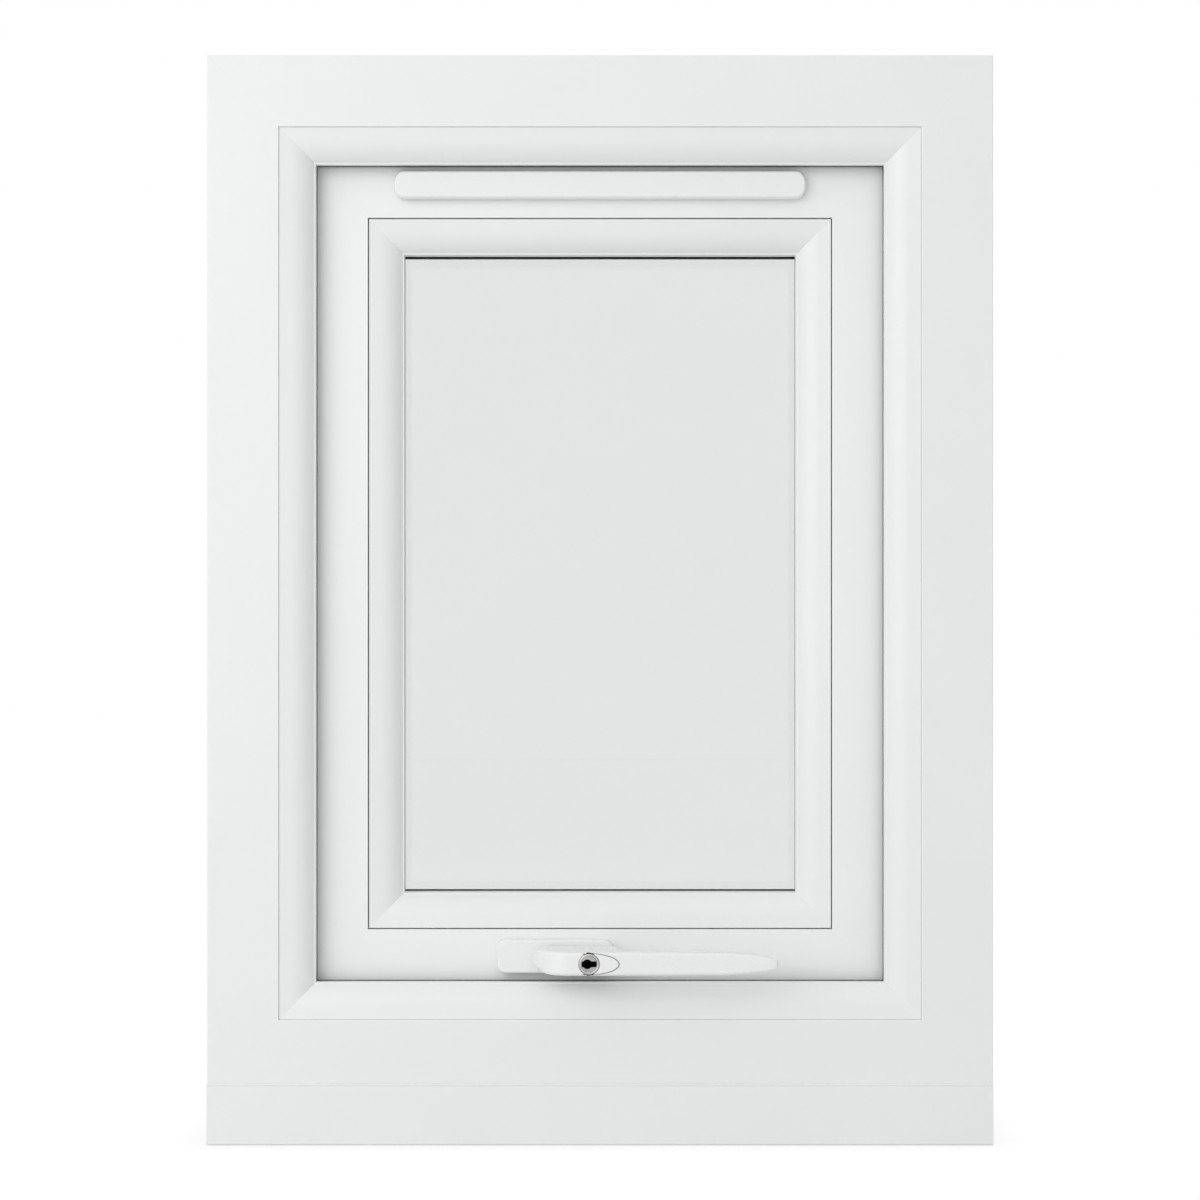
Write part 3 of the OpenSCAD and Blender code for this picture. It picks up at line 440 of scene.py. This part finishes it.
FIX_Z = (FRAME_Z0 + 130 * MM, FRAME_Z1 - 130 * MM)
FIX_Y = 22 * MM
FIX_R = 3.1 * MM
DRAIN_X = 130 * MM
DRAIN_Z = FRAME_Z0 + 17 * MM
DRAIN_L = 26 * MM
DRAIN_H = 3.8 * MM
DRAIN_END = 1.9 * MM
DRAIN_DEEP = 12 * MM
RAILS = (("bottom", 0, upvc_x), ("right", 1, upvc_z), ("top", 2, upvc_x), ("left", 3, upvc_z))
FRAME_NODES = {
    "bottom": "frame_bottom_rail", "right": "frame_right_jamb",
    "top": "frame_head", "left": "frame_left_jamb",
}
SASH_NODES = {
    "bottom": "sash_bottom_rail", "right": "sash_right_stile",
    "top": "sash_top_rail", "left": "sash_left_stile",
}


def bore_x(name, y, z, radius, x0, x1):
    return mesh_piece(name, [[(x, y + p.x, z + p.y) for p in circle(0, 0, radius, 48)] for x in (x0, x1)])


def in_painted_gap_shade(point):
    """On the rear of the lip's inner side beside the seal, where black paints the shade deep in the gap."""
    inward = min(FRAME_X - abs(point.x), FRAME_H - abs(point.z - MID_Z))
    return inward > SIGHT - 0.4 * MM and point.y > Y_GAP_SHADE - 0.01 * MM


for where, side, mat in RAILS:
    piece = rail("frame_" + where, frame_outline, FRAME_X, FRAME_H, side)
    if where in ("left", "right"):
        sign = 1 if where == "right" else -1
        reach = sorted((sign * (FRAME_X + MM), sign * (FRAME_X - FLAT - MM)))
        cut(piece, *[bore_x("bore", FIX_Y, z, FIX_R, *reach) for z in FIX_Z])
    if where == "bottom":
        cut(piece, *[
            prism_y("slot", stadium(s * DRAIN_X, DRAIN_Z, DRAIN_L, DRAIN_H, DRAIN_END),
                    Y_OUT - DRAIN_DEEP, Y_OUT + MM)
            for s in (-1, 1)
        ])
    smooth(piece)
    place(piece, "frame", mat, "white_plastic", FRAME_NODES[where])
    # the rear of the lip's inner side takes the black rubber as painted shade in the gap
    second(piece, rubber_and_gap_shade, in_painted_gap_shade)


# ---------- sash ----------

GROOVE_Y = (-7 * MM, 9 * MM)
GROOVE_T = 5 * MM
SLOT_Y = (-0.1 * MM, 2.1 * MM)
SLOT_T = 2 * MM
sash_outline = rounded([
    (BODY_U, Y_SASH, 0.8 * MM), (BEAD_U, Y_SASH, 0.25 * MM),
    (BEAD_U, SLOT_Y[0]), (BEAD_U - SLOT_T, SLOT_Y[0]), (BEAD_U - SLOT_T, SLOT_Y[1]), (BEAD_U, SLOT_Y[1]),
    (BEAD_U, Y_LEG), (LEG_TIP, Y_LEG, 0.3 * MM), (LEG_TIP, Y_LEG + 2.5 * MM, 0.5 * MM),
    (LEG_TIP - 15 * MM, Y_SASH_OUT - 2 * MM, 1 * MM), (LEG_TIP - 17 * MM, Y_SASH_OUT, 1.5 * MM),
    (0, Y_SASH_OUT, 1.8 * MM), (0, Y_LEG, 0.4 * MM), (BODY_U, Y_LEG),
    (BODY_U, GROOVE_Y[1], 0.2 * MM), (BODY_U + GROOVE_T, GROOVE_Y[1]),
    (BODY_U + GROOVE_T, GROOVE_Y[0]), (BODY_U, GROOVE_Y[0], 0.2 * MM),
])

vent_low, vent_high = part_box("vent_flap")
VENT_Z = (vent_low.z + vent_high.z) / 2
VENT_L = vent_high.x - vent_low.x
VENT_H = vent_high.z - vent_low.z
SLOT_W = 92 * MM
SLOT_X = 52 * MM
SLOT_Z = VENT_Z + MM
SLOT_H = 6 * MM
case_low = low("gearbox_case")
case_high = high("gearbox_cover")
spindle_low, spindle_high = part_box("handle_spindle")
SPINDLE_X = (spindle_low.x + spindle_high.x) / 2
SPINDLE_Z = (spindle_low.z + spindle_high.z) / 2
GAP = 0.6 * MM
RACK_X = 30 * MM
RACK_DROP = 8 * MM
SPINDLE_HOLE_R = 7 * MM
SASH_Z0 = MID_Z - SASH_H + BODY_U


def block(name, x0, x1, y0, y1, z0, z1):
    return prism_z(name, [Vector(p) for p in ((x0, y0), (x1, y0), (x1, y1), (x0, y1))], z0, z1)


for where, side, mat in RAILS:
    piece = rail("sash_" + where, sash_outline, SASH_X, SASH_H, side)
    if where == "top":
        cut(piece, *[
            prism_y("slot", stadium(s * SLOT_X, SLOT_Z, SLOT_W, SLOT_H, SLOT_H / 2),
                    Y_SASH - MM, Y_SASH_OUT + MM)
            for s in (-1, 1)
        ])
    if where == "bottom":
        cut(
            piece,
            block("case", case_low.x - GAP, case_high.x + GAP, case_low.y - GAP, case_high.y + GAP,
                  SASH_Z0 - MM, case_high.z + GAP),
            block("rack", SPINDLE_X - RACK_X, SPINDLE_X + RACK_X, case_low.y - GAP, case_high.y + GAP,
                  SASH_Z0 - MM, SPINDLE_Z - RACK_DROP),
            prism_y("spindle", circle(SPINDLE_X, SPINDLE_Z, SPINDLE_HOLE_R, 48), Y_SASH - MM, case_low.y),
        )
    smooth(piece)
    # the sash takes the lighter copy of the uPVC, painted light against the frame's shade
    place(piece, "sash", sash_shade_lifted_x if mat == upvc_x else sash_shade_lifted_z, "white_plastic", SASH_NODES[where])


# ---------- glazing beads ----------

FOOT_Y = (0.0, 2 * MM)
BEAD_PLAY = 0.1 * MM
SHADOW_GAP = 0.65 * MM
bead_outline = rounded(
    [(BEAD_U - SLOT_T + BEAD_PLAY, FOOT_Y[1]), (BEAD_U - SLOT_T + BEAD_PLAY, FOOT_Y[0], 0.3 * MM),
     (BEAD_U + BEAD_PLAY, FOOT_Y[0]), (BEAD_U + BEAD_PLAY, Y_SASH + 4.2 * MM),
     (BEAD_U + SHADOW_GAP, Y_SASH + 3.4 * MM),
     (BEAD_U + SHADOW_GAP, Y_SASH + FACET_STEP + 0.1 * MM, 0.3 * MM)]
    + sculptured(BEAD_U, Y_SASH, BEAD_W)[2:]
    + [(BEAD_U + BEAD_W, BEAD_BACK, 0.4 * MM), (BEAD_U + BEAD_PLAY, BEAD_BACK),
       (BEAD_U + BEAD_PLAY, FOOT_Y[1])]
)
for where, side, mat in RAILS:
    piece = smooth(rail("glazing_bead_" + where, bead_outline, SASH_X, SASH_H, side))
    place(piece, "sash", mat, "white_plastic", "bead_" + where)


# ---------- cill ----------

cill_low, cill_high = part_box("cill")
FACE_Z = cill_high.z
CILL_Y0 = cill_low.y
CILL_Y1 = cill_high.y
NOSE_Z = 17 * MM
CAP_T = 3 * MM
CILL_EASE = 0.04 * MM
DRIP_Y = (CILL_Y1 - 8 * MM, CILL_Y1 - 5 * MM)
DRIP_H = 1.6 * MM
LINE_IN = 0.4 * MM

# the underside with its drip groove, the nose, the slope, and the room-side lip with a fine line
cill_outline = rounded([
    (CILL_Y0, 0, 1.2 * MM), (DRIP_Y[0], 0), (DRIP_Y[0], DRIP_H),
    (DRIP_Y[1], DRIP_H), (DRIP_Y[1], 0), (CILL_Y1, 0, 1.5 * MM),
    (CILL_Y1, NOSE_Z, 3 * MM), (Y_OUT + 2 * MM, FRAME_Z0 - 4 * MM, 1.5 * MM),
    (Y_OUT + 2 * MM, FRAME_Z0, 0.6 * MM),
    (Y_ROOM, FRAME_Z0), (Y_ROOM, FACE_Z, 0.3 * MM), (CILL_Y0, FACE_Z, 0.5 * MM),
    (CILL_Y0, FACE_Z - 0.7 * MM), (CILL_Y0 + LINE_IN, FACE_Z - 0.9 * MM),
    (CILL_Y0 + LINE_IN, FACE_Z - 1.1 * MM), (CILL_Y0, FACE_Z - 1.3 * MM),
])
cill = smooth(prism_x("cill_board", cill_outline, -FRAME_X + CAP_T, FRAME_X - CAP_T, CILL_EASE))
place(cill, "frame", upvc_x, "white_plastic", "cill")
caps = [
    prism_x("cill_cap", cill_outline, *sorted((s * FRAME_X, s * (FRAME_X - CAP_T))), CILL_EASE)
    for s in (-1, 1)
]


def join(name, objs):
    """One object from several."""
    bm = bmesh.new()
    for obj in objs:
        bm.from_mesh(obj.data)
    mesh = bpy.data.meshes.new(name)
    bm.to_mesh(mesh)
    bm.free()
    whole = bpy.data.objects.new(name, mesh)
    bpy.context.scene.collection.objects.link(whole)
    for obj in objs:
        bpy.data.objects.remove(obj)
    return whole


place(smooth(join("cill_caps", caps)), "frame", upvc_x, "white_plastic", "cill_end_caps")


# ---------- trickle vent ----------

VENT_END = 5.6 * MM
FLAP_WALL = 1.5 * MM
# The flap's skin differs from its CAD solid by these, which come from the photograph.
# The skin cuts the vent's base at the flap's open limit: not repaired.
FLAP_BACK_BY = 1.5 * MM
FLAP_UP_BY = 1.0 * MM
FLAP_LONGER = 3.0 * MM
FLAP_TALLER = 0.8 * MM
FLAP_FRONT = vent_low.y + FLAP_BACK_BY
FLAP_Z = VENT_Z + FLAP_UP_BY
FLAP_L = VENT_L + FLAP_LONGER
FLAP_H = VENT_H + FLAP_TALLER
SWING_FRONT = 2.2 * MM
SWING_UP = 1.9 * MM
flap = faced("vent_cover", stadium(0, FLAP_Z, FLAP_L, FLAP_H, VENT_END, 20), FLAP_FRONT, vent_high.y,
             1.6 * MM, 2.4 * MM, 10)
hollow_outline = stadium(0, FLAP_Z, FLAP_L - 2 * FLAP_WALL, FLAP_H - 2 * FLAP_WALL, VENT_END - FLAP_WALL)
hollow = prism_y("hollow", hollow_outline, FLAP_FRONT + FLAP_WALL, vent_high.y + MM)
swing = block("swing", -VENT_L, VENT_L, Y_SASH - SWING_FRONT, Y_SASH + MM,
              VENT_Z - VENT_H, VENT_Z - VENT_H / 2 + SWING_UP)
smooth(cut(flap, hollow, swing))
place(flap, "vent_flap", moulded, "white_plastic", "vent_flap")


# ---------- handle ----------

def curve(table, x):
    """A smooth line through a table of (x, value), without overshoot."""
    xs = [p[0] for p in table]
    vs = [p[1] for p in table]
    if x <= xs[0]:
        return vs[0]
    if x >= xs[-1]:
        return vs[-1]
    slopes = [(vs[i + 1] - vs[i]) / (xs[i + 1] - xs[i]) for i in range(len(xs) - 1)]
    grads = [slopes[0]]
    for a, b in zip(slopes, slopes[1:]):
        grads.append(0 if a * b <= 0 else 2 * a * b / (a + b))
    grads.append(slopes[-1])
    i = max(k for k in range(len(xs) - 1) if xs[k] <= x)
    h = xs[i + 1] - xs[i]
    t = (x - xs[i]) / h
    return ((2 * t ** 3 - 3 * t ** 2 + 1) * vs[i] + (t ** 3 - 2 * t ** 2 + t) * h * grads[i]
            + (3 * t ** 2 - 2 * t ** 3) * vs[i + 1] + (t ** 3 - t ** 2) * h * grads[i + 1])


base_low, base_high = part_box("handle_base")
lever_low, lever_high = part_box("handle_lever")
lock_low, lock_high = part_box("lock_button")
LOCK_X = (lock_low.x + lock_high.x) / 2
LOCK_R = (lock_high.x - lock_low.x) / 2
LEVER_FRONT = lever_low.y
NECK_Y = base_low.y - 0.4 * MM
TIP_X = lever_high.x
ROOT_X = lever_low.x
LEVER_H = (lever_high.z - lever_low.z) / 2

COLLAR_R = 6.2 * MM
SCREW_X = 21.5 * MM
SCREW_R = 4.05 * MM
SCREW_SINK = 2.4 * MM
base = faced(
    "handle_plate",
    rounded([
        (base_low.x, base_low.z, 4.5 * MM), (base_high.x, base_low.z, 7 * MM),
        (base_high.x, base_high.z, 7 * MM), (base_low.x, base_high.z, 4.5 * MM),
    ], 12),
    base_low.y, base_high.y, 1.6 * MM, 1.6 * MM, 6,
)
cut(
    base,
    prism_y("collar", circle(SPINDLE_X, SPINDLE_Z, COLLAR_R), base_low.y - MM, base_high.y + MM),
    *[prism_y("screw", circle(SPINDLE_X + s * SCREW_X, SPINDLE_Z, SCREW_R, 32),
              base_low.y + SCREW_SINK, base_high.y + MM)
      for s in (-1, 1)],
)
smooth(base)
place(base, "sash", powder, "white_metal", "handle_base")

# tables of (x, value) along the lever: where its front and its back lie in Y, half its height,
# and the radius of its front edges
ROOT_DEEP = NECK_Y - LEVER_FRONT
LEVER_T = 11 * MM
NECK_END = LOCK_X + 14.5 * MM
front_table = [
    (ROOT_X, LEVER_FRONT + 0.97 * ROOT_DEEP), (ROOT_X + 0.4 * MM, LEVER_FRONT + 0.88 * ROOT_DEEP),
    (ROOT_X + 1.6 * MM, LEVER_FRONT + 0.70 * ROOT_DEEP), (ROOT_X + 5 * MM, LEVER_FRONT + 0.42 * ROOT_DEEP),
    (ROOT_X + 9.5 * MM, LEVER_FRONT + 0.19 * ROOT_DEEP), (ROOT_X + 14 * MM, LEVER_FRONT + 0.06 * ROOT_DEEP),
    (ROOT_X + 18 * MM, LEVER_FRONT + 0.012 * ROOT_DEEP), (ROOT_X + 21 * MM, LEVER_FRONT),
    (TIP_X - 9 * MM, LEVER_FRONT), (TIP_X - 3.2 * MM, LEVER_FRONT + 0.22 * MM),
    (TIP_X - 1.4 * MM, LEVER_FRONT + 0.6 * MM), (TIP_X - 0.7 * MM, LEVER_FRONT + 2.4 * MM),
    (TIP_X, LEVER_FRONT + 4.6 * MM),
]
back_table = [
    (NECK_END - 3 * MM, NECK_Y), (NECK_END - 0.8 * MM, NECK_Y - 5 * MM),
    (NECK_END + 1.2 * MM, NECK_Y - 13 * MM),
    (NECK_END + 3.4 * MM, NECK_Y - 20 * MM), (NECK_END + 7 * MM, LEVER_FRONT + LEVER_T + 0.8 * MM),
    (NECK_END + 12 * MM, LEVER_FRONT + LEVER_T), (TIP_X - 16 * MM, LEVER_FRONT + LEVER_T),
    (TIP_X - 7 * MM, LEVER_FRONT + LEVER_T - 1.6 * MM), (TIP_X - 2 * MM, LEVER_FRONT + LEVER_T - 4 * MM),
    (TIP_X, LEVER_FRONT + LEVER_T - 5.8 * MM),
]
height_table = [
    (ROOT_X + 14 * MM, LEVER_H), (SPINDLE_X + 60 * MM, 0.985 * LEVER_H),
    (SPINDLE_X + 85 * MM, 0.945 * LEVER_H), (SPINDLE_X + 100 * MM, 0.89 * LEVER_H),
    (SPINDLE_X + 110 * MM, 0.765 * LEVER_H), (SPINDLE_X + 116 * MM, 0.62 * LEVER_H),
    (SPINDLE_X + 120 * MM, 0.475 * LEVER_H), (SPINDLE_X + 122.4 * MM, 0.37 * LEVER_H),
    (SPINDLE_X + 123.5 * MM, 0.29 * LEVER_H), (TIP_X, 0.16 * LEVER_H),
]
edge_table = [
    (ROOT_X, 0.5 * MM), (ROOT_X + 6 * MM, 2.6 * MM), (ROOT_X + 18 * MM, 2.2 * MM),
    (SPINDLE_X + 60 * MM, 2.0 * MM),
    (TIP_X - 10 * MM, 1.6 * MM), (TIP_X, 0.3 * MM),
]
ROOT_ROUND = 11 * MM
BACK_ROUND = 2.6 * MM


def lever_stations():
    """Where the lever's rings stand along X, closer near its ends and its neck."""
    spread = [ROOT_X + 0.02 * MM]
    x = ROOT_X
    while x < TIP_X - 0.01 * MM:
        near = min(abs(x - ROOT_X), abs(x - TIP_X), abs(x - NECK_END))
        x += (0.25 if near < 3 * MM else 0.6 if near < 9 * MM else 2.0) * MM
        spread.append(min(x, TIP_X - 0.02 * MM))
    return spread


def lever_ring(x):
    front = curve(front_table, x)
    back = curve(back_table, x)
    half = curve(height_table, x)
    if x < ROOT_X + ROOT_ROUND:
        half *= math.sqrt(max(0.0, 1 - ((ROOT_X + ROOT_ROUND - x) / ROOT_ROUND) ** 2))
    half = max(half, 0.25 * MM)
    edge = min(curve(edge_table, x), 0.8 * half, 0.45 * (back - front))
    soft = min(BACK_ROUND, 0.8 * half, 0.45 * (back - front))
    corners = [(front, -half, edge), (front, half, edge), (back, half, soft), (back, -half, soft)]
    return [(x, p.x, SPINDLE_Z + p.y) for p in rounded(corners, 7)]


lever = mesh_piece("lever", [lever_ring(x) for x in lever_stations()])
OVAL = (16.9 * MM, 6.1 * MM)
OVAL_DEPTH = 2.2 * MM
OVAL_WIDTH = 0.7 * MM
OVAL_THIN = 0.7
OVAL_START = 2 * MM
OVAL_RUN = 8 * MM
OVAL_ABOVE = 0.4


def oval_groove():
    """A thin ring that sinks into the lever's front from the lock to its right end."""
    rings = []
    for grow, front in ((0.0, False), (0.0, True), (OVAL_WIDTH, True), (OVAL_WIDTH, False)):
        ring = []
        for p in circle(0, 0, 1, 96):
            x = p.x * (OVAL[0] - grow)
            z = p.y * (OVAL[1] - grow * OVAL_THIN)
            depth = OVAL_DEPTH * min(1.0, max(-OVAL_ABOVE, (x + OVAL_START) / OVAL_RUN))
            ring.append((LOCK_X + x, LEVER_FRONT + (-MM if front else depth), SPINDLE_Z + z))
        rings.append(ring)
    return mesh_piece("oval", rings, joined=True)


LOCK_GAP = 0.16 * MM
bore = mesh_piece("bore", [
    [(p.x, y, p.y) for p in circle(LOCK_X, SPINDLE_Z, r)]
    for y, r in ((LEVER_FRONT - MM, LOCK_R + 1.2 * MM), (LEVER_FRONT + 0.1 * MM, LOCK_R + LOCK_GAP),
                 (lock_high.y + MM, LOCK_R + LOCK_GAP))
])
SPINDLE_HALF = (spindle_high.x - spindle_low.x) / 2 + 0.05 * MM
square = block("square", SPINDLE_X - SPINDLE_HALF, SPINDLE_X + SPINDLE_HALF, NECK_Y - 12 * MM, NECK_Y + MM,
               SPINDLE_Z - SPINDLE_HALF, SPINDLE_Z + SPINDLE_HALF)
cut(lever, bore, square, oval_groove())
smooth(lever, 32)
place(lever, "handle", powder, "white_metal", "handle_lever")


def from_lock(point):
    return math.hypot(point.x - LOCK_X, point.z - SPINDLE_Z)


def in_shaded_lock_bore(point):
    deep = LEVER_FRONT + 0.2 * MM < point.y < lock_high.y + 2 * MM
    return deep and from_lock(point) < LOCK_R + 0.6 * MM


# the lock's bore wall in the lever is painted black: painted shade
second(lever, painted_lock_shade, in_shaded_lock_bore)

button = mesh_piece("lock_rim", [
    [(p.x, y, p.y) for p in circle(LOCK_X, SPINDLE_Z, r)]
    for y, r in (
        (LEVER_FRONT + 0.35 * MM, LOCK_R - 1.3 * MM), (LEVER_FRONT + 0.05 * MM, LOCK_R - 1.0 * MM),
        (LEVER_FRONT, LOCK_R - 0.85 * MM), (LEVER_FRONT, LOCK_R - 0.45 * MM),
        (LEVER_FRONT + 0.12 * MM, LOCK_R - 0.15 * MM), (LEVER_FRONT + 0.4 * MM, LOCK_R),
        (lock_high.y - 0.3 * MM, LOCK_R), (lock_high.y, LOCK_R - 0.3 * MM),
    )
])
plug_low, plug_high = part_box("lock_plug")
PLUG_R = (plug_high.x - plug_low.x) / 2
PLUG_GAP = 0.06 * MM
cut(button, prism_y("well", circle(LOCK_X, SPINDLE_Z, PLUG_R + PLUG_GAP),
                    LEVER_FRONT - MM, plug_high.y + 0.4 * MM))
smooth(button)
place(button, "lock_button", nickel, "lock_metal", "lock_button")
# painted shade on the rim's sunken flank and in its well
second(button, painted_lock_shade, lambda c: c.y > LEVER_FRONT + 0.45 * MM)

plug = mesh_piece("lock_barrel", [
    [(p.x, y, p.y) for p in circle(LOCK_X, SPINDLE_Z, r)]
    for y, r in (
        (LEVER_FRONT + 0.1 * MM, PLUG_R - 0.25 * MM), (LEVER_FRONT + 0.3 * MM, PLUG_R),
        (plug_high.y, PLUG_R),
    )
])
KEY_DEEP = 9 * MM
KEY_HALF_L = 4.1 * MM
KEY_HALF_H = 1.6 * MM
KEY_EDGE = 0.3 * MM
KEY_ROUND_X = LOCK_X - 1.0 * MM
KEY_ROUND_R = 2.7 * MM
key_corners = [
    (LOCK_X + a * KEY_HALF_L, SPINDLE_Z + b * KEY_HALF_H, KEY_EDGE)
    for a, b in ((-1, -1), (1, -1), (1, 1), (-1, 1))
]
cut(
    plug,
    prism_y("bar", rounded(key_corners), LEVER_FRONT - MM, LEVER_FRONT + KEY_DEEP),
    prism_y("round", circle(KEY_ROUND_X, SPINDLE_Z, KEY_ROUND_R, 40),
            LEVER_FRONT - MM, LEVER_FRONT + KEY_DEEP),
)
smooth(plug)
place(plug, "lock_plug", nickel_dark, "lock_metal", "lock_plug")
# painted shade inside the keyway and down the barrel's side
second(plug, painted_lock_shade, lambda c: c.y > LEVER_FRONT + 0.5 * MM)


# ---------- CAD nodes that keep their shape ----------

WELD_REACH = 0.001 * MM
EDGE_ANGLE = math.radians(40)


def finish(mat, width, *names):
    """Better edges and a material on CAD nodes whose shape is already right."""
    for name in names:
        obj = paint(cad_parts[name], mat)
        weld = obj.modifiers.new("weld", "WELD")
        weld.merge_threshold = WELD_REACH
        if width:
            edge = obj.modifiers.new("edge", "BEVEL")
            edge.width = width
            edge.segments = 2
            edge.limit_method = "ANGLE"
            edge.angle_limit = EDGE_ANGLE
            edge.use_clamp_overlap = True


finish(rubber_and_gap_shade, 0, "frame_gasket", "sash_gasket", "outer_glazing_gasket", "bead_gasket")
finish(glass, 0, "inner_pane", "outer_pane")
finish(aluminium, 0, "spacer_bar")
finish(sealant, 0, "unit_sealant")
finish(packer_blue, 0.4 * MM, "glazing_packers")
finish(moulded, 0.25 * MM, "drain_caps", "vent_base")
finish(upvc_x, 0.4 * MM, "vent_canopy")
finish(zinc_x, 0.12 * MM, "keep_left", "keep_right", "espag_faceplate", "gearbox_case", "gearbox_cover",
       "drive_bar", "drive_cams", "handle_spindle", "gearbox_pinion")
finish(zinc, 0.12 * MM, "stay_track_left", "stay_track_right", "sash_bar_left", "sash_bar_right",
       "strut_left", "strut_right", "long_arm_left", "long_arm_right", "nose_arm_left", "nose_arm_right")
finish(zinc, 0.05 * MM, "frame_screws", "sash_screws", "vent_screws", "handle_screws")
finish(nylon, 0.15 * MM, "shoe_left", "shoe_right")


# ---------- camera, light and floor ----------

scene = bpy.context.scene
scene.view_settings.view_transform = "Standard"

CAMERA_LENS = 90.05
CAMERA_SENSOR = 36
CAMERA_BACK = 1.68
camera_data = bpy.data.cameras.new("camera")
camera_data.lens = CAMERA_LENS
camera_data.sensor_width = CAMERA_SENSOR
camera = bpy.data.objects.new("camera", camera_data)
camera.location = (0, Y_ROOM - CAMERA_BACK, FRAME_Z1 / 2)
camera.rotation_euler = (math.radians(90), 0, 0)
scene.collection.objects.link(camera)
scene.camera = camera


MIDDLE = Vector((0, 0, MID_Z))


def area(name, place_at, size, power):
    """A round lamp that faces the window's middle and that the camera doesn't see."""
    data = bpy.data.lights.new(name, "AREA")
    data.shape = "DISK"
    data.size = size
    data.energy = power
    lamp = bpy.data.objects.new(name, data)
    lamp.location = place_at
    lamp.rotation_euler = (MIDDLE - Vector(place_at)).to_track_quat("-Z", "Y").to_euler()
    scene.collection.objects.link(lamp)
    lamp.visible_camera = False


area("key", (-0.86, -1.20, MID_Z + 0.42), size=1.3, power=5.35)
area("back_fill", (0.95, 1.35, MID_Z + 0.55), size=1.2, power=3.6)

# the sky's strength runs from dim to bright as a ray turns towards the upper left
SKY_TOWARDS = (-0.62, -0.52, 0.59)
SKY_DIM = 0.275
SKY_BRIGHT = 0.99

world = bpy.data.worlds.new("studio")
scene.world = world
world.use_nodes = True
tree = world.node_tree
tree.nodes.clear()
sky_out = tree.nodes.new("ShaderNodeOutputWorld")
sky_mix = tree.nodes.new("ShaderNodeMixShader")
sky_light = tree.nodes.new("ShaderNodeBackground")
sky_seen = tree.nodes.new("ShaderNodeBackground")
rays = tree.nodes.new("ShaderNodeLightPath")
sky_way = tree.nodes.new("ShaderNodeTexCoord")
sky_dot = tree.nodes.new("ShaderNodeVectorMath")
sky_dot.operation = "DOT_PRODUCT"
sky_dot.inputs[1].default_value = SKY_TOWARDS
sky_tone = tree.nodes.new("ShaderNodeMapRange")
sky_tone.inputs["From Min"].default_value = -1
sky_tone.inputs["From Max"].default_value = 1
sky_tone.inputs["To Min"].default_value = SKY_DIM
sky_tone.inputs["To Max"].default_value = SKY_BRIGHT
tree.links.new(sky_way.outputs["Generated"], sky_dot.inputs[0])
tree.links.new(sky_dot.outputs["Value"], sky_tone.inputs["Value"])
tree.links.new(sky_tone.outputs["Result"], sky_light.inputs["Strength"])
sky_seen.inputs["Strength"].default_value = 1.0
sky_light.inputs["Color"].default_value = (1, 1, 1, 1)
sky_seen.inputs["Color"].default_value = (1, 1, 1, 1)
tree.links.new(rays.outputs["Is Camera Ray"], sky_mix.inputs["Fac"])
tree.links.new(sky_light.outputs["Background"], sky_mix.inputs[1])
tree.links.new(sky_seen.outputs["Background"], sky_mix.inputs[2])
tree.links.new(sky_mix.outputs["Shader"], sky_out.inputs["Surface"])

FLOOR = 4.0
FLOOR_DROP = 0.05 * MM
# The camera sees the floor as an even white glow that an ambient-occlusion node darkens near the window's
# base: a painted contact shadow.
PAINTED_SHADOW_REACH = 0.03
PAINTED_SHADOW_DARK = 0.86
PAINTED_SHADOW_LIGHT = 1.02
floor = block("floor", -FLOOR, FLOOR, -FLOOR, FLOOR, 0, -MM)
floor.location.z = -FLOOR_DROP
floor_mat = surface("white_floor", (0.80, 0.80, 0.80), (0.82, 0.82, 0.82), (0.6, 0.7),
                    grain=60, bump=0.0, specular=0.1)
floor_tree = floor_mat.node_tree
floor_out = [n for n in floor_tree.nodes if n.type == "OUTPUT_MATERIAL"][0]
floor_bsdf = [n for n in floor_tree.nodes if n.type == "BSDF_PRINCIPLED"][0]
floor_seen = floor_tree.nodes.new("ShaderNodeEmission")
floor_mix = floor_tree.nodes.new("ShaderNodeMixShader")
floor_rays = floor_tree.nodes.new("ShaderNodeLightPath")
# painted contact shadow: the glow dims where the floor is occluded
painted_contact_shadow = floor_tree.nodes.new("ShaderNodeAmbientOcclusion")
painted_contact_shadow.samples = 8
painted_contact_shadow.inputs["Distance"].default_value = PAINTED_SHADOW_REACH
painted_shadow_tone = floor_tree.nodes.new("ShaderNodeMapRange")
painted_shadow_tone.inputs["To Min"].default_value = PAINTED_SHADOW_DARK
painted_shadow_tone.inputs["To Max"].default_value = PAINTED_SHADOW_LIGHT
floor_tree.links.new(painted_contact_shadow.outputs["AO"], painted_shadow_tone.inputs["Value"])
floor_tree.links.new(painted_shadow_tone.outputs["Result"], floor_seen.inputs["Strength"])
floor_tree.links.new(floor_rays.outputs["Is Camera Ray"], floor_mix.inputs["Fac"])
floor_tree.links.new(floor_bsdf.outputs["BSDF"], floor_mix.inputs[1])
floor_tree.links.new(floor_seen.outputs["Emission"], floor_mix.inputs[2])
floor_tree.links.new(floor_mix.outputs["Shader"], floor_out.inputs["Surface"])
paint(floor, floor_mat)
